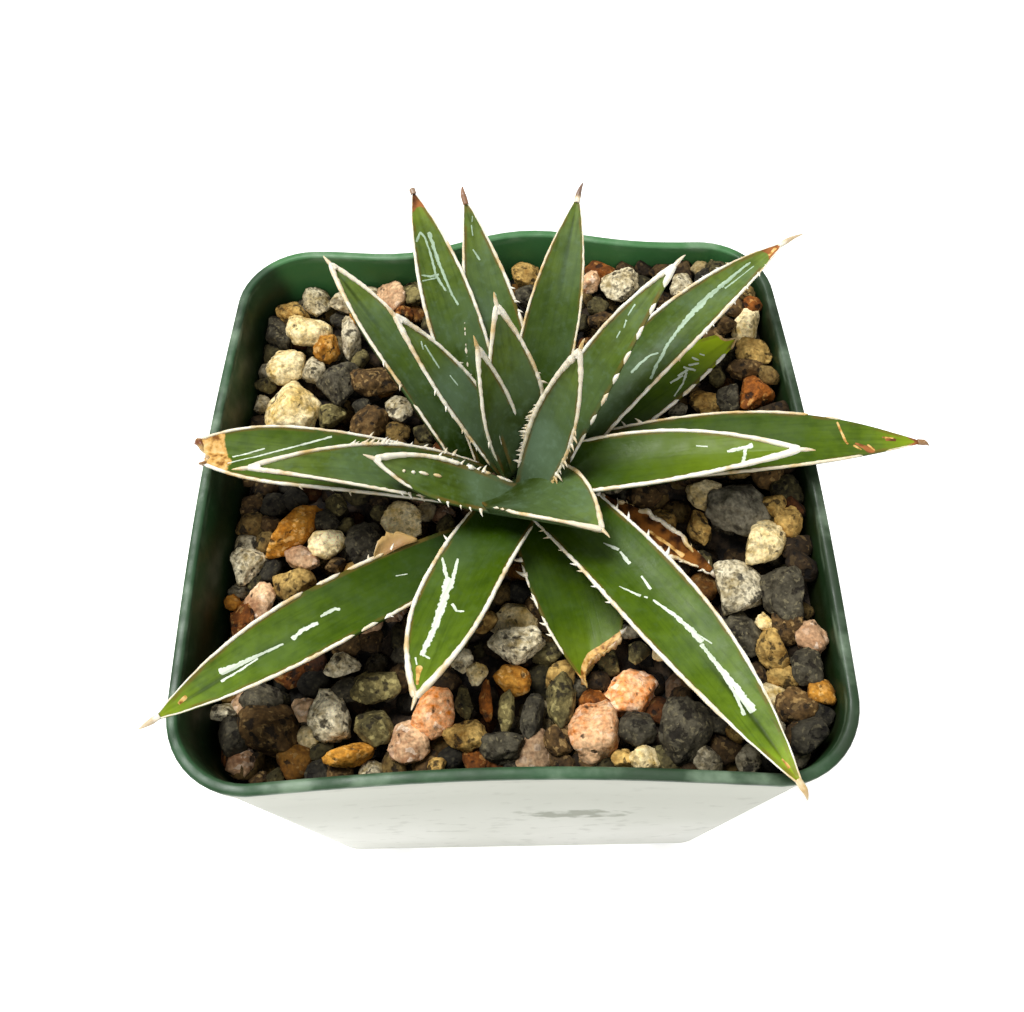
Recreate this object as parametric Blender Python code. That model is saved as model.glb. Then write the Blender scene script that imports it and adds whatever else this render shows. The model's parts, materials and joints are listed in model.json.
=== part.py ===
"""Queen Victoria agave growing in a square nursery pot filled with gravel.

Run with blender --background --python part.py, or from the text editor.
Units are metres with +Z up. The origin is the centre of the pot's underside, and the plant's
axis is the Z axis. +Y is the back of the pot. Sizes below are in millimetres and degrees,
and MM turns them to metres where a mesh is made.
"""

import math
import random
from dataclasses import dataclass

import bmesh
import bpy
from mathutils import Matrix, Vector

MM = 0.001
SEED = 7
GAP = 0.3  # clearance between neighbouring pieces
MERGE = 1e-7  # metres between doubled points
LEAST_LEFT = 0.2  # a cut that leaves less than this share of a piece has failed
FLAT_ANGLE = math.radians(1)  # faces this nearly level with each other are merged after cutting

# ---------------------------------------------------------------- pot
POT_HEIGHT = 82.0
RIM_HALF = 44.5  # half the side across the outside of the rim
BASE_HALF = 36.9
RIM_CORNER = 11.3  # corner radius at the rim
BASE_CORNER = 6.6
WALL = 1.2
COLLAR_HEIGHT = 3.4  # the thicker band that stiffens the rim
COLLAR_PROUD = 0.3
COLLAR_LEDGE = 0.5  # height of the slope under the collar
WAIST = 39.0  # the height of a ring half way up the wall
FLOOR_UNDER = 1.2  # the floor stands this far off the table, on its pads
FLOOR_TOP = 2.6
BASE_BEVEL = 1.0  # bevel round the floor's lower edge
PAD_SUNK = 0.5  # how deep the pads are set into the floor
FOOT_INSET = 9.5
FOOT_RADIUS = 5.0
PAD_RADIUS = 9.0
DRAIN_RADIUS = 3.2
DRAIN_OUT = 21.0
BOW_FRONT = -1.4  # how far each side of the rim bows outwards at its middle
BOW_SIDE = 0.95
BOW_BACK = 2.1
WAVE_BACK = (1.8, 1.2)  # second and third harmonics of the back rim's wave
CORNER_STEPS = 4
SIDE_STEPS = 6
ROUND_SIDES = 12  # sides of the pads, the drain holes, the stem and its hole

# ---------------------------------------------------------------- gravel
GRAVEL_LEVEL = 74.3
GRAVEL_SLOPE = (0.07, 0.05)  # it lies higher towards +X and towards +Y
MOUND_HEIGHT = 1.0  # it is heaped round the stem
MOUND_RADIUS = 15.0
STONE_PITCH = 8.6  # spacing of the stones that cover the surface
ROW_PITCH = 0.87  # spacing of their rows, as a share of that
STONE_RADIUS = (4.1, 5.2)
STONE_WIDTH = 0.8  # width and height of a stone as shares of its length
STONE_HEIGHT = (0.6, 0.8)
STONE_SHIFT = 1.2  # how far a stone lies from its place in the row, at most
STONE_LIFT = (-2.8, -0.6)  # height of its middle above the gravel's level
STONE_INSET = 1.8  # how far the outermost stones' middles lie from the wall
BED_DEPTH = 3.4  # the stones' feet are set in a bed this far below the gravel's level
BED_INSET = 0.1  # the bed stops this much short of the stones at the wall
WALL_GAP = 0.4
HOLE_RADIUS = 6.9  # plain hole for the stem
HOLE_CLEAR = 3.0  # no stone's middle lies nearer to the hole than this

# ---------------------------------------------------------------- plant
STEM_TOP = 78.5
STEM_FOOT = 60.0
STEM_RADIUS = (6.5, 3.0)  # at its foot and at its top
BLADE_STEPS = 7  # sections along a blade
BLADE_EDGE = 0.7  # thickness of a blade at its edges
SHEATH = 4.5  # length of the narrow sheath behind a leaf's foot, which grips the stem
SHEATH_WIDTH = 0.75  # its width at the stem, as a share of the foot's
BASE_THICK = 1.6  # extra thickness of a leaf at its foot
BASE_LENGTH = 11.0  # how far out from the foot that runs
BLADE_THICK = 0.24  # thickness at the middle, as a share of the half width
CHANNEL = 0.24  # depth of the channel on top, as a share of the half width
HORN_WIDTH = 0.62
HORN_UP = 0.28
HORN_DOWN = 0.45
HORN_SHARE = 0.4  # but no more than this share of the half width
HORN_TIP = 0.95  # half width of a leaf where its two margins meet
HORN_LAP = 0.9  # how far the margins run into the tip
SPINE_LENGTH = 2.6
SPINE_ROOT = 0.45  # least half width of the tip where the spine starts
SPINE_POINT = 0.12  # radius of the spine's blunt point
SPINE_ANGLES = (150, 90, 30, -30, -90, -150)
CUT_THICK = 0.9  # length of the dry edge on a leaf that was cut short
CUT_DEEP = 1.0  # its depth in the middle
TOOTH_LENGTH = 0.95
TOOTH_PITCH = 6.0
TOOTH_BASE = 0.9
TOOTH_ROOT = 0.3  # how deep a tooth is set into its margin
TOOTH_HOOK = 0.35  # how far a tooth leans back towards the foot
TOOTH_FIRST = (0.22, 0.3)  # where the first tooth is, as a share of the length
TOOTH_LAST = 0.62


@dataclass(frozen=True)
class Leaf:
    """One leaf, from its foot on the stem to its tip."""

    name: str
    foot: tuple  # x, y and z of the middle of its base
    heading: float  # compass direction at the foot, 0 along +X, 90 along +Y
    turn: float  # how far the heading swings by the tip
    rise: tuple  # angle above the horizontal at the foot and at the tip
    length: float
    width: float  # from margin to margin at the widest
    roll: tuple = (0.0, 0.0)  # turn about its own axis at the foot and at the tip
    base: float = 0.8  # width at the foot, as a share of the width
    widest: float = 0.4  # where it is widest, as a share of the length
    taper: float = 2.0  # 1 tapers straight to the tip, and more keeps it full for longer
    kept: float = 1.0  # share of the length left on a leaf that was cut short
    dead: bool = False


# Youngest first. A young leaf presses into the older ones round it.
LEAVES = (
    Leaf("leaf_01", (2.5, 2.5, 85.5), 102, 9, (62, 54), 22.5, 8.0, (-2, -4), widest=0.36, taper=1.5),
    Leaf("leaf_02", (0.5, 1.5, 84.5), 118, 5, (68, 63), 19.5, 6.2, (-18, -29), widest=0.33, taper=1.6),
    Leaf("leaf_03", (3.5, -2.0, 82.5), 52, 1, (60, 63), 23.5, 7.2, (3, 8), widest=0.37, taper=1.8),
    Leaf(
        "leaf_04", (1.0, -2.0, 83.0), -39, -10, (40, 2), 18.0, 12.5,
        (8, 24), base=1.0, widest=0.35, taper=1.65,
    ),
    Leaf("leaf_05", (1.0, -4.0, 81.0), 175, -1, (24, 28), 22.0, 6.8, (1, 3), widest=0.46, taper=2.1),
    Leaf("leaf_06", (-0.5, 3.0, 81.0), 134, 12, (50, 39), 28.0, 6.4, (-4, -6), widest=0.39, taper=1.9),
    Leaf(
        "leaf_07", (5.5, 1.0, 81.0), 55, -14, (49, 21), 36.5, 7.2,
        (3, 5), base=0.85, widest=0.35, taper=1.85,
    ),
    Leaf("leaf_08", (3.0, 0.0, 80.5), -3, -4, (27, 7), 40.0, 9.2, (2, 3), widest=0.36),
    Leaf(
        "leaf_09", (-3.5, -0.5, 79.5), 179, 12, (30, 7), 35.5, 8.8,
        (-4, -10), widest=0.35, taper=1.55,
    ),
    Leaf(
        "leaf_10", (-0.5, -5.0, 78.5), 240, 17, (21, 4), 32.5, 10.8,
        (-11, -19), base=0.9, widest=0.47, taper=2.25,
    ),
    Leaf("leaf_11", (0.5, 3.0, 78.0), 94, 12, (40, 23), 42.5, 10.0, widest=0.36, taper=1.6),
    Leaf("leaf_12", (2.0, 3.0, 79.0), 72, 4, (43, 21), 42.0, 8.4, (1, 1), widest=0.43, taper=2.1),
    Leaf("leaf_13", (5.0, -0.5, 78.0), -53, -8, (22, -6), 55.0, 10.4, (-3, -1), base=0.9, taper=2.3),
    Leaf("leaf_14", (-1.5, 3.5, 79.0), 110, -2, (43, 19), 44.0, 8.0, widest=0.45, taper=2.15),
    Leaf(
        "leaf_15", (-5.0, 3.5, 77.5), 126, 7, (41, 15), 39.0, 7.6,
        (-22, -18), base=0.75, widest=0.5, taper=2.2,
    ),
    Leaf("leaf_16", (5.0, 1.5, 77.5), 45, -10, (31, 0), 54.5, 8.4, (0, -2), widest=0.44, taper=2.2),
    Leaf("leaf_17", (4.5, 2.0, 78.0), 3, -8, (20, -4), 56.5, 10.4, (1, -1), widest=0.45, taper=2.2),
    Leaf(
        "leaf_18", (-6.0, 0.5, 78.0), 175, 2, (20, -2), 43.5, 9.8,
        (-2, 4), widest=0.55, taper=2.6, kept=0.93,
    ),
    Leaf("leaf_19", (-2.5, -7.5, 76.0), 210, 9, (17, 5), 52.0, 9.6, (-5, -2), widest=0.5, taper=2.3),
    Leaf("leaf_20", (3.5, 3.0, 76.0), 34, -3, (14, 2), 43.0, 10.0, (1, 2), kept=0.9),
    Leaf(
        "leaf_21", (5.0, -2.5, 76.0), -66, -24, (10, -11), 30.0, 13.5,
        (4, 7), widest=0.35, taper=1.8, kept=0.86,
    ),
    Leaf("leaf_22", (5.0, -2.0, 77.5), -12, -32, (2, -4), 28.0, 5.5, (6, -6), dead=True),
)
YOUNG = 9  # the inner leaves are bluer and duller than the outer ones


def clear_scene() -> None:
    """Removes every object of the scene."""
    for obj in list(bpy.data.objects):
        bpy.data.objects.remove(obj, do_unlink=True)


def material(name: str, colour: tuple, roughness: float) -> bpy.types.Material:
    """A plain Principled material with a linear colour."""
    mat = bpy.data.materials.new(name)
    mat.use_nodes = True
    shader = mat.node_tree.nodes["Principled BSDF"]
    shader.inputs["Base Color"].default_value = (*colour, 1.0)
    shader.inputs["Roughness"].default_value = roughness
    shader.inputs["Metallic"].default_value = 0.0
    mat.diffuse_color = (*colour, 1.0)
    return mat


def add_mesh(name: str, points: list, faces: list, mat=None) -> bpy.types.Object:
    """An object from points in millimetres, with its faces turned outwards."""
    mesh = bpy.data.meshes.new(name)
    mesh.from_pydata([Vector(p) * MM for p in points], [], faces)
    bm = bmesh.new()
    bm.from_mesh(mesh)
    bmesh.ops.recalc_face_normals(bm, faces=bm.faces)
    bm.to_mesh(mesh)
    bm.free()
    obj = bpy.data.objects.new(name, mesh)
    bpy.context.scene.collection.objects.link(obj)
    if mat:
        mesh.materials.append(mat)
    return obj


def loft(rings: list) -> tuple:
    """Points and faces of a closed solid through rings that have the same number of points.

    Each side face is halved along the same diagonal, so that nested walls stay apart.
    """
    count = len(rings[0])
    points = [p for ring in rings for p in ring]
    faces = [list(range(count))[::-1]]
    for step in range(len(rings) - 1):
        low, high = step * count, (step + 1) * count
        for i in range(count):
            j = (i + 1) % count
            faces += [[low + i, low + j, high + j], [low + i, high + j, high + i]]
    last = (len(rings) - 1) * count
    faces.append([last + i for i in range(count)])
    return points, faces


def volume_if_closed(mesh) -> float:
    """The mesh's volume, or 0 where an edge doesn't have two faces once doubled points are merged."""
    bm = bmesh.new()
    bm.from_mesh(mesh)
    bmesh.ops.remove_doubles(bm, verts=bm.verts, dist=MERGE)
    closed = all(len(edge.link_faces) == 2 for edge in bm.edges)
    volume = bm.calc_volume() if closed and bm.faces else 0.0
    bm.free()
    return volume


def boolean(obj, others: list, operation: str) -> None:
    """Joins the other objects to this one, or cuts them from it, and removes them."""
    tools = bpy.data.collections.new("tools")
    bpy.context.scene.collection.children.link(tools)
    for other in others:
        bpy.context.scene.collection.objects.unlink(other)
        tools.objects.link(other)
    modifier = obj.modifiers.new("boolean", "BOOLEAN")
    modifier.operation = operation
    modifier.operand_type = "COLLECTION"
    modifier.collection = tools
    least = LEAST_LEFT * volume_if_closed(obj.data)
    for solver in ("EXACT", "MANIFOLD"):
        modifier.solver = solver
        graph = bpy.context.evaluated_depsgraph_get()
        mesh = bpy.data.meshes.new_from_object(obj.evaluated_get(graph))
        if volume_if_closed(mesh) > least:
            break
    obj.modifiers.remove(modifier)
    obj.data = mesh
    for other in others:
        bpy.data.objects.remove(other, do_unlink=True)
    bpy.data.collections.remove(tools)


def merge_flat(obj) -> None:
    """Merges the flat scraps of faces that cutting leaves behind."""
    bm = bmesh.new()
    bm.from_mesh(obj.data)
    bmesh.ops.dissolve_limit(bm, angle_limit=FLAT_ANGLE, verts=bm.verts, edges=bm.edges)
    bmesh.ops.triangulate(bm, faces=bm.faces)
    mesh = obj.data.copy()
    bm.to_mesh(mesh)
    bm.free()
    if volume_if_closed(mesh) > 0:
        obj.data = mesh


def keep_largest(obj) -> None:
    """Merges doubled points and drops every loose scrap but the largest body."""
    bm = bmesh.new()
    bm.from_mesh(obj.data)
    bmesh.ops.remove_doubles(bm, verts=bm.verts, dist=MERGE)
    left, bodies = set(bm.faces), []
    while left:
        body, front = [], [left.pop()]
        while front:
            face = front.pop()
            body.append(face)
            near = {other for edge in face.edges for other in edge.link_faces} & left
            left -= near
            front.extend(near)
        bodies.append(body)
    bodies.sort(key=lambda body: sum(face.calc_area() for face in body))
    bmesh.ops.delete(bm, geom=[face for body in bodies[:-1] for face in body], context="FACES")
    bm.to_mesh(obj.data)
    bm.free()


def box_of(obj) -> tuple:
    """The lowest and highest corners of an object's points."""
    points = [v.co for v in obj.data.vertices]
    return [min(p[i] for p in points) for i in range(3)], [max(p[i] for p in points) for i in range(3)]


def cut_each(obj, cutters: list) -> None:
    """Cuts each cutter that comes near the object from it in turn, and keeps the largest body."""
    for cutter in cutters:
        (low, high), (cut_low, cut_high) = box_of(obj), box_of(cutter)
        if all(low[i] < cut_high[i] and cut_low[i] < high[i] for i in range(3)):
            boolean(obj, [cutter], "DIFFERENCE")
            keep_largest(obj)
        else:
            bpy.data.objects.remove(cutter, do_unlink=True)


# ---------------------------------------------------------------- pot
def outline(half: float, corner: float, z: float, bow: float) -> list:
    """A rounded square at a height. bow scales the way that the rim's sides bow and wave."""
    points = []
    straight = half - corner
    for side in range(4):
        turn = Matrix.Rotation(math.radians(90 * side), 2)
        for i in range(SIDE_STEPS):
            along = -straight + 2 * straight * i / SIDE_STEPS
            points.append(turn @ Vector((half + bow * side_bow(side, along / straight), along)))
        for i in range(CORNER_STEPS):
            angle = math.radians(90 * i / CORNER_STEPS)
            corner_x, corner_y = corner * math.cos(angle), corner * math.sin(angle)
            points.append(turn @ Vector((straight + corner_x, straight + corner_y)))
    return [(p.x, p.y, z) for p in points]


def side_bow(side: int, along: float) -> float:
    """How far a side of the rim bows out, at -1 to 1 along it, for sides +X, +Y, -X and -Y."""
    phase = math.pi * (along + 1) / 2
    swell = math.sin(phase)
    if side == 1:
        second, third = WAVE_BACK
        return swell * (BOW_BACK * swell + second * math.sin(2 * phase) - third * math.sin(3 * phase))
    return swell * (BOW_FRONT if side == 3 else BOW_SIDE)


def pot_ring(z: float, inset: float) -> list:
    """The pot's outer outline at a height, moved in by inset."""
    share = z / POT_HEIGHT
    half = BASE_HALF + (RIM_HALF - COLLAR_PROUD - BASE_HALF) * share
    corner = BASE_CORNER + (RIM_CORNER - BASE_CORNER) * share
    return outline(half - inset, max(corner - inset, 1.0), z, share**2)


def make_pot(mat) -> bpy.types.Object:
    """The square pot: a thin tapered shell with a rim band, on four feet and a middle pad."""
    collar = POT_HEIGHT - COLLAR_HEIGHT
    rings = [
        pot_ring(FLOOR_UNDER, BASE_BEVEL),
        pot_ring(FLOOR_UNDER + BASE_BEVEL, 0.0),
        pot_ring(WAIST, 0.0),
        pot_ring(collar, 0.0),
        pot_ring(collar + COLLAR_LEDGE, -COLLAR_PROUD),
        pot_ring(POT_HEIGHT, -COLLAR_PROUD),
        pot_ring(POT_HEIGHT, WALL),
        pot_ring(WAIST, WALL),
        pot_ring(FLOOR_TOP, WALL),
    ]
    pot = add_mesh("pot", *loft(rings), mat)
    out = BASE_HALF - FOOT_INSET
    pad_top = FLOOR_UNDER + PAD_SUNK
    pads = [disc("pad", (0, 0), PAD_RADIUS, 0.0, pad_top)]
    pads += [
        disc("foot", (sx * out, sy * out), FOOT_RADIUS, 0.0, pad_top)
        for sx in (-1, 1)
        for sy in (-1, 1)
    ]
    boolean(pot, pads, "UNION")
    drains = [
        disc("drain", (DRAIN_OUT * x, DRAIN_OUT * y), DRAIN_RADIUS, 0.0, FLOOR_TOP + 1.0)
        for x, y in ((1, 0), (0, 1), (-1, 0), (0, -1))
    ]
    boolean(pot, drains, "DIFFERENCE")
    merge_flat(pot)
    return pot


def circle(centre: tuple, radius: float, z: float) -> list:
    """Points round a level circle."""
    x, y = centre
    angles = [2 * math.pi * i / ROUND_SIDES for i in range(ROUND_SIDES)]
    return [(x + radius * math.cos(a), y + radius * math.sin(a), z) for a in angles]


def disc(name: str, centre: tuple, radius: float, low: float, high: float) -> bpy.types.Object:
    """An upright cylinder between two heights."""
    return add_mesh(name, *loft([circle(centre, radius, z) for z in (low, high)]))


# ---------------------------------------------------------------- leaves
def half_width(leaf: Leaf, t: float) -> float:
    """Half the width from margin to margin, at a share of the length."""
    if t < leaf.widest:
        share = leaf.base + (1 - leaf.base) * math.sin(math.pi / 2 * t / leaf.widest)
    else:
        share = 1 - ((t - leaf.widest) / (1 - leaf.widest)) ** leaf.taper
    return leaf.width / 2 * share


def frames(leaf: Leaf, count: int = 64) -> list:
    """Point, along, right and up vectors at even steps of the length."""
    point, result = Vector(leaf.foot), []
    for i in range(count + 1):
        t = i / count
        heading = math.radians(leaf.heading + leaf.turn * t)
        rise = math.radians(leaf.rise[0] + (leaf.rise[1] - leaf.rise[0]) * t)
        roll = math.radians(leaf.roll[0] + (leaf.roll[1] - leaf.roll[0]) * t)
        ahead = Vector((math.cos(heading), math.sin(heading), 0))
        along = ahead * math.cos(rise) + Vector((0, 0, math.sin(rise)))
        level = Vector((ahead.y, -ahead.x, 0))
        normal = level.cross(along)
        right = level * math.cos(roll) + normal * math.sin(roll)
        result.append((point.copy(), along, right, right.cross(along)))
        point += along * leaf.length / count
    return result


def frame_at(path: list, t: float) -> tuple:
    """The frame at a share of the length, between two steps of the path."""
    place = min(max(t, 0.0), 1.0) * (len(path) - 1)
    i = min(int(place), len(path) - 2)
    share = place - i
    return tuple(a.lerp(b, share) for a, b in zip(path[i], path[i + 1]))


def at_half_width(leaf: Leaf, wanted: float) -> float:
    """The share of the length, past the widest place, where the leaf has narrowed to a half width."""
    low, high = leaf.widest, 1.0
    for _ in range(30):
        mid = (low + high) / 2
        low, high = (mid, high) if half_width(leaf, mid) > wanted else (low, mid)
    return low


def blade_end(leaf: Leaf) -> float:
    """Where the green blade ends, at its cut or at the horny tip."""
    return min(leaf.kept, at_half_width(leaf, HORN_TIP))


def horn_width(leaf: Leaf, t: float) -> float:
    """The width of a horny margin, which narrows with the leaf."""
    return min(HORN_WIDTH, HORN_SHARE * half_width(leaf, t))


def blade_ring(leaf: Leaf, path: list, t: float, whole: bool, grow: float) -> list:
    """The section of a blade, or of the whole leaf: a channel on top and a keel below."""
    point, _, right, up = frame_at(path, t)
    full = half_width(leaf, t)
    edge = full if whole else full - horn_width(leaf, t) - GAP
    channel = CHANNEL * full
    keel = channel + BLADE_THICK * full + BASE_THICK * max(0.0, 1 - t * leaf.length / BASE_LENGTH) ** 2
    top = [(v, grow - channel * (1 - (v / full) ** 2)) for v in (-edge, -edge / 2, 0, edge / 2, edge)]
    under = [(v, -BLADE_EDGE - grow - keel * (1 - abs(v) / full)) for v in (edge, 0, -edge)]
    outward = [(v + math.copysign(grow, v) * (abs(v) == edge), n) for v, n in top + under]
    return [point + right * v + up * n for v, n in outward]


def blade_rings(leaf: Leaf, end: float, whole: bool, grow: float) -> list:
    """The sections from the sheath's end, behind the foot, to a share of the length."""
    path = frames(leaf)
    rings = [blade_ring(leaf, path, end * i / BLADE_STEPS, whole, grow) for i in range(BLADE_STEPS + 1)]
    foot, along, right, _ = path[0]
    back = [point - along * (SHEATH + grow) for point in rings[0]]
    return [[p - right * (p - foot).dot(right) * (1 - SHEATH_WIDTH) for p in back], *rings]


def make_blade(leaf: Leaf, mat) -> bpy.types.Object:
    """The green blade, inside its horny margins."""
    return add_mesh(leaf.name, *loft(blade_rings(leaf, blade_end(leaf), False, 0.0)), mat)


def make_envelope(leaf: Leaf) -> bpy.types.Object:
    """The whole leaf with its margins, grown by the gap. It presses its place into older leaves."""
    rings = blade_rings(leaf, min(leaf.kept, at_half_width(leaf, 0.4)), True, GAP)
    along = frames(leaf)[-1][1]
    rings[-1] = [point + along * GAP for point in rings[-1]]
    return add_mesh("envelope", *loft(rings))


def horn_strip(leaf: Leaf, path: list, side: int, end: float):
    """One horny margin, along the leaf's left (-1) or right (1) edge."""
    rings = []
    for i in range(BLADE_STEPS + 1):
        t = end * i / BLADE_STEPS
        point, _, right, up = frame_at(path, t)
        outer = half_width(leaf, t)
        inner = outer - horn_width(leaf, t)
        section = [(inner, HORN_UP), (outer, HORN_UP * 0.6), (outer, -HORN_DOWN), (inner, -HORN_DOWN)]
        rings.append([point + right * v * side + up * n for v, n in section])
    return add_mesh("strip", *loft(rings))


def horn_point(leaf: Leaf, path: list, start: float):
    """The horny tip where the margins meet, drawn out into the spine at the leaf's end."""
    rings = []
    for share in (0.0, 0.5, 0.9):
        t = start + (1 - start) * share
        wide = max(half_width(leaf, t), SPINE_ROOT)
        deep = 0.4 + 0.35 * wide
        rings.append(horn_ring(frame_at(path, t), wide, (HORN_UP, HORN_UP / 2), (HORN_DOWN, deep)))
    point, along, right, up = path[-1]
    tip = point + along * SPINE_LENGTH
    round_tip = [(math.cos(math.radians(a)), math.sin(math.radians(a))) for a in SPINE_ANGLES]
    rings.append([tip + (right * x + up * y) * SPINE_POINT for x, y in round_tip])
    return add_mesh("tip", *loft(rings))


def horn_ring(frame: tuple, wide: float, rises: tuple, drops: tuple) -> list:
    """A section from margin to margin, with its heights and depths at the edges and in the middle."""
    point, _, right, up = frame
    section = [
        (-wide, rises[0]),
        (0, rises[1]),
        (wide, rises[0]),
        (wide, -drops[0]),
        (0, -drops[1]),
        (-wide, -drops[0]),
    ]
    return [point + right * v + up * n for v, n in section]


def cut_end(leaf: Leaf, path: list):
    """The dry edge across a leaf that was cut short, which joins its two margins."""
    wide = half_width(leaf, leaf.kept)
    dip = CHANNEL * wide
    rises, drops = (HORN_UP, HORN_UP - dip), (BLADE_EDGE, dip + CUT_DEEP)
    places = [leaf.kept + (GAP + step) / leaf.length for step in (0.0, CUT_THICK)]
    return add_mesh("cut", *loft([horn_ring(frame_at(path, t), wide, rises, drops) for t in places]))


def tooth(leaf: Leaf, path: list, side: int, t: float, size: float):
    """One hooked tooth on a margin, with its root sunk in the margin."""
    point, along, right, up = frame_at(path, t)
    edge = point + right * side * (half_width(leaf, t) - TOOTH_ROOT)
    out = (right * side - along * TOOTH_HOOK - up * 0.1).normalized()
    base = along * TOOTH_BASE * size / 2
    tip = edge + out * (TOOTH_ROOT + TOOTH_LENGTH * size)
    points = [edge + base, edge - base + up * 0.2, edge - base - up * 0.35, tip]
    return add_mesh("tooth", points, [[0, 1, 2], [0, 1, 3], [1, 2, 3], [2, 0, 3]])


def make_margin(leaf: Leaf, mat, rng: random.Random) -> bpy.types.Object:
    """Both horny margins, their teeth, and the tip or the cut end that joins them."""
    path = frames(leaf)
    start = blade_end(leaf) + GAP / leaf.length
    cut = leaf.kept < 1
    end = min((leaf.kept if cut else start) + HORN_LAP / leaf.length, (1 + start) / 2)
    first = horn_strip(leaf, path, -1, end)
    others = [horn_strip(leaf, path, 1, end)]
    others.append(cut_end(leaf, path) if cut else horn_point(leaf, path, start))
    for side in (-1, 1):
        place = rng.uniform(*TOOTH_FIRST) * leaf.length
        while place < TOOTH_LAST * leaf.length:
            others.append(tooth(leaf, path, side, place / leaf.length, rng.uniform(0.8, 1.2)))
            place += TOOTH_PITCH * rng.uniform(0.75, 1.35)
    boolean(first, others, "UNION")
    first.name = leaf.name.replace("leaf", "margin")
    first.data.materials.clear()
    first.data.materials.append(mat)
    return first


def make_stem(mat, name: str = "stem", grow: float = 0.0) -> bpy.types.Object:
    """The short stem that the leaves grow from, standing in the gravel."""
    foot, top = STEM_RADIUS
    rings = [circle((0, 0), foot + grow, STEM_FOOT), circle((0, 0), top + grow, STEM_TOP + grow)]
    return add_mesh(name, *loft(rings), mat)


def make_rosette(greens: tuple, dead, horn, stem_mat) -> None:
    """The stem and all leaves. Each older leaf gives way to the younger ones that press on it."""
    rng = random.Random(SEED)
    make_stem(stem_mat)
    for index, leaf in enumerate(LEAVES):
        blade = make_blade(leaf, dead if leaf.dead else greens[index >= YOUNG])
        younger = [make_envelope(other) for other in LEAVES[:index]]
        cut_each(blade, [*younger, make_stem(None, "core", GAP)])
        merge_flat(blade)
        margin = make_margin(leaf, horn, rng)
        others = [make_envelope(other) for other in LEAVES if other is not leaf]
        cut_each(margin, [*others, make_stem(None, "core", GAP)])
        merge_flat(margin)


# ---------------------------------------------------------------- gravel
def gravel_height(x: float, y: float) -> float:
    """The level of the gravel, which slopes and is heaped round the stem."""
    heap = MOUND_HEIGHT * math.exp(-(x * x + y * y) / MOUND_RADIUS**2)
    return GRAVEL_LEVEL + GRAVEL_SLOPE[0] * x + GRAVEL_SLOPE[1] * y + heap


def head_room(x: float, y: float, reach: float, paths: list) -> float:
    """The height of the lowest leaf above a stone, less the gap."""
    room = POT_HEIGHT
    for leaf, path in paths:
        for i in range(0, len(path), 4):
            t = i / (len(path) - 1)
            point = path[i][0]
            near = math.hypot(point.x - x, point.y - y) < reach + half_width(leaf, t)
            if near and t <= leaf.kept:
                under = point.z - (CHANNEL + BLADE_THICK) * half_width(leaf, t) - BLADE_EDGE
                room = min(room, under - 2 * GAP)
    return room


def make_gravel(mat) -> bpy.types.Object:
    """The bed of gravel that fills the pot, with its top covered in stones."""
    rng = random.Random(SEED)
    inset = WALL + WALL_GAP + BED_INSET
    bed_rings = [pot_ring(FLOOR_TOP + GAP, inset), pot_ring(WAIST, inset)]
    top = pot_ring(GRAVEL_LEVEL, inset)
    bed_rings.append([(x, y, gravel_height(x, y) - BED_DEPTH) for x, y, _ in top])
    bed = add_mesh("gravel", *loft(bed_rings), mat)
    boolean(bed, make_stones(rng), "UNION")
    levels = (POT_HEIGHT, WAIST, FLOOR_TOP)
    inside = add_mesh("inside", *loft([pot_ring(z, WALL + WALL_GAP) for z in levels]))
    boolean(bed, [inside], "INTERSECT")
    hole = disc("hole", (0, 0), HOLE_RADIUS, STEM_FOOT - GAP, POT_HEIGHT)
    boolean(bed, [hole], "DIFFERENCE")
    keep_largest(bed)
    merge_flat(bed)
    return bed


def make_stones(rng: random.Random) -> list:
    """Stones in staggered rows over the gravel's surface, below the leaves."""
    paths = [(leaf, frames(leaf)) for leaf in LEAVES]
    stones = []
    reach = RIM_HALF - WALL - STONE_INSET
    rows = round(2 * reach / (STONE_PITCH * ROW_PITCH))
    columns = round(2 * reach / STONE_PITCH)
    for row in range(rows + 1):
        y = reach * (2 * row / rows - 1)
        for column in range(columns + row % 2):
            x = reach * ((2 * column + 1 - row % 2) / columns - 1)
            px = x + rng.uniform(-STONE_SHIFT, STONE_SHIFT)
            py = y + rng.uniform(-STONE_SHIFT, STONE_SHIFT)
            radius = rng.uniform(*STONE_RADIUS)
            spin = rng.uniform(0, math.pi)
            lift = rng.uniform(*STONE_LIFT)
            if math.hypot(px, py) < HOLE_RADIUS + HOLE_CLEAR:
                continue
            flat = radius * rng.uniform(*STONE_HEIGHT)
            z = min(gravel_height(px, py) + lift, head_room(px, py, radius, paths) - flat)
            stones.append(make_stone((px, py, z), (radius, radius * STONE_WIDTH, flat), spin, rng))
    return stones


def make_stone(centre: tuple, radii: tuple, spin: float, rng: random.Random):
    """One angular stone of 20 faces."""
    bm = bmesh.new()
    bmesh.ops.create_icosphere(bm, subdivisions=1, radius=1.0)
    turn = Matrix.Rotation(spin, 3, "Z")
    points = []
    for vert in bm.verts:
        point = Vector(a * b for a, b in zip(vert.co, radii)) * rng.uniform(0.85, 1.15)
        points.append(Vector(centre) + turn @ point)
    faces = [[v.index for v in face.verts] for face in bm.faces]
    bm.free()
    return add_mesh("stone", points, faces)


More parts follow.
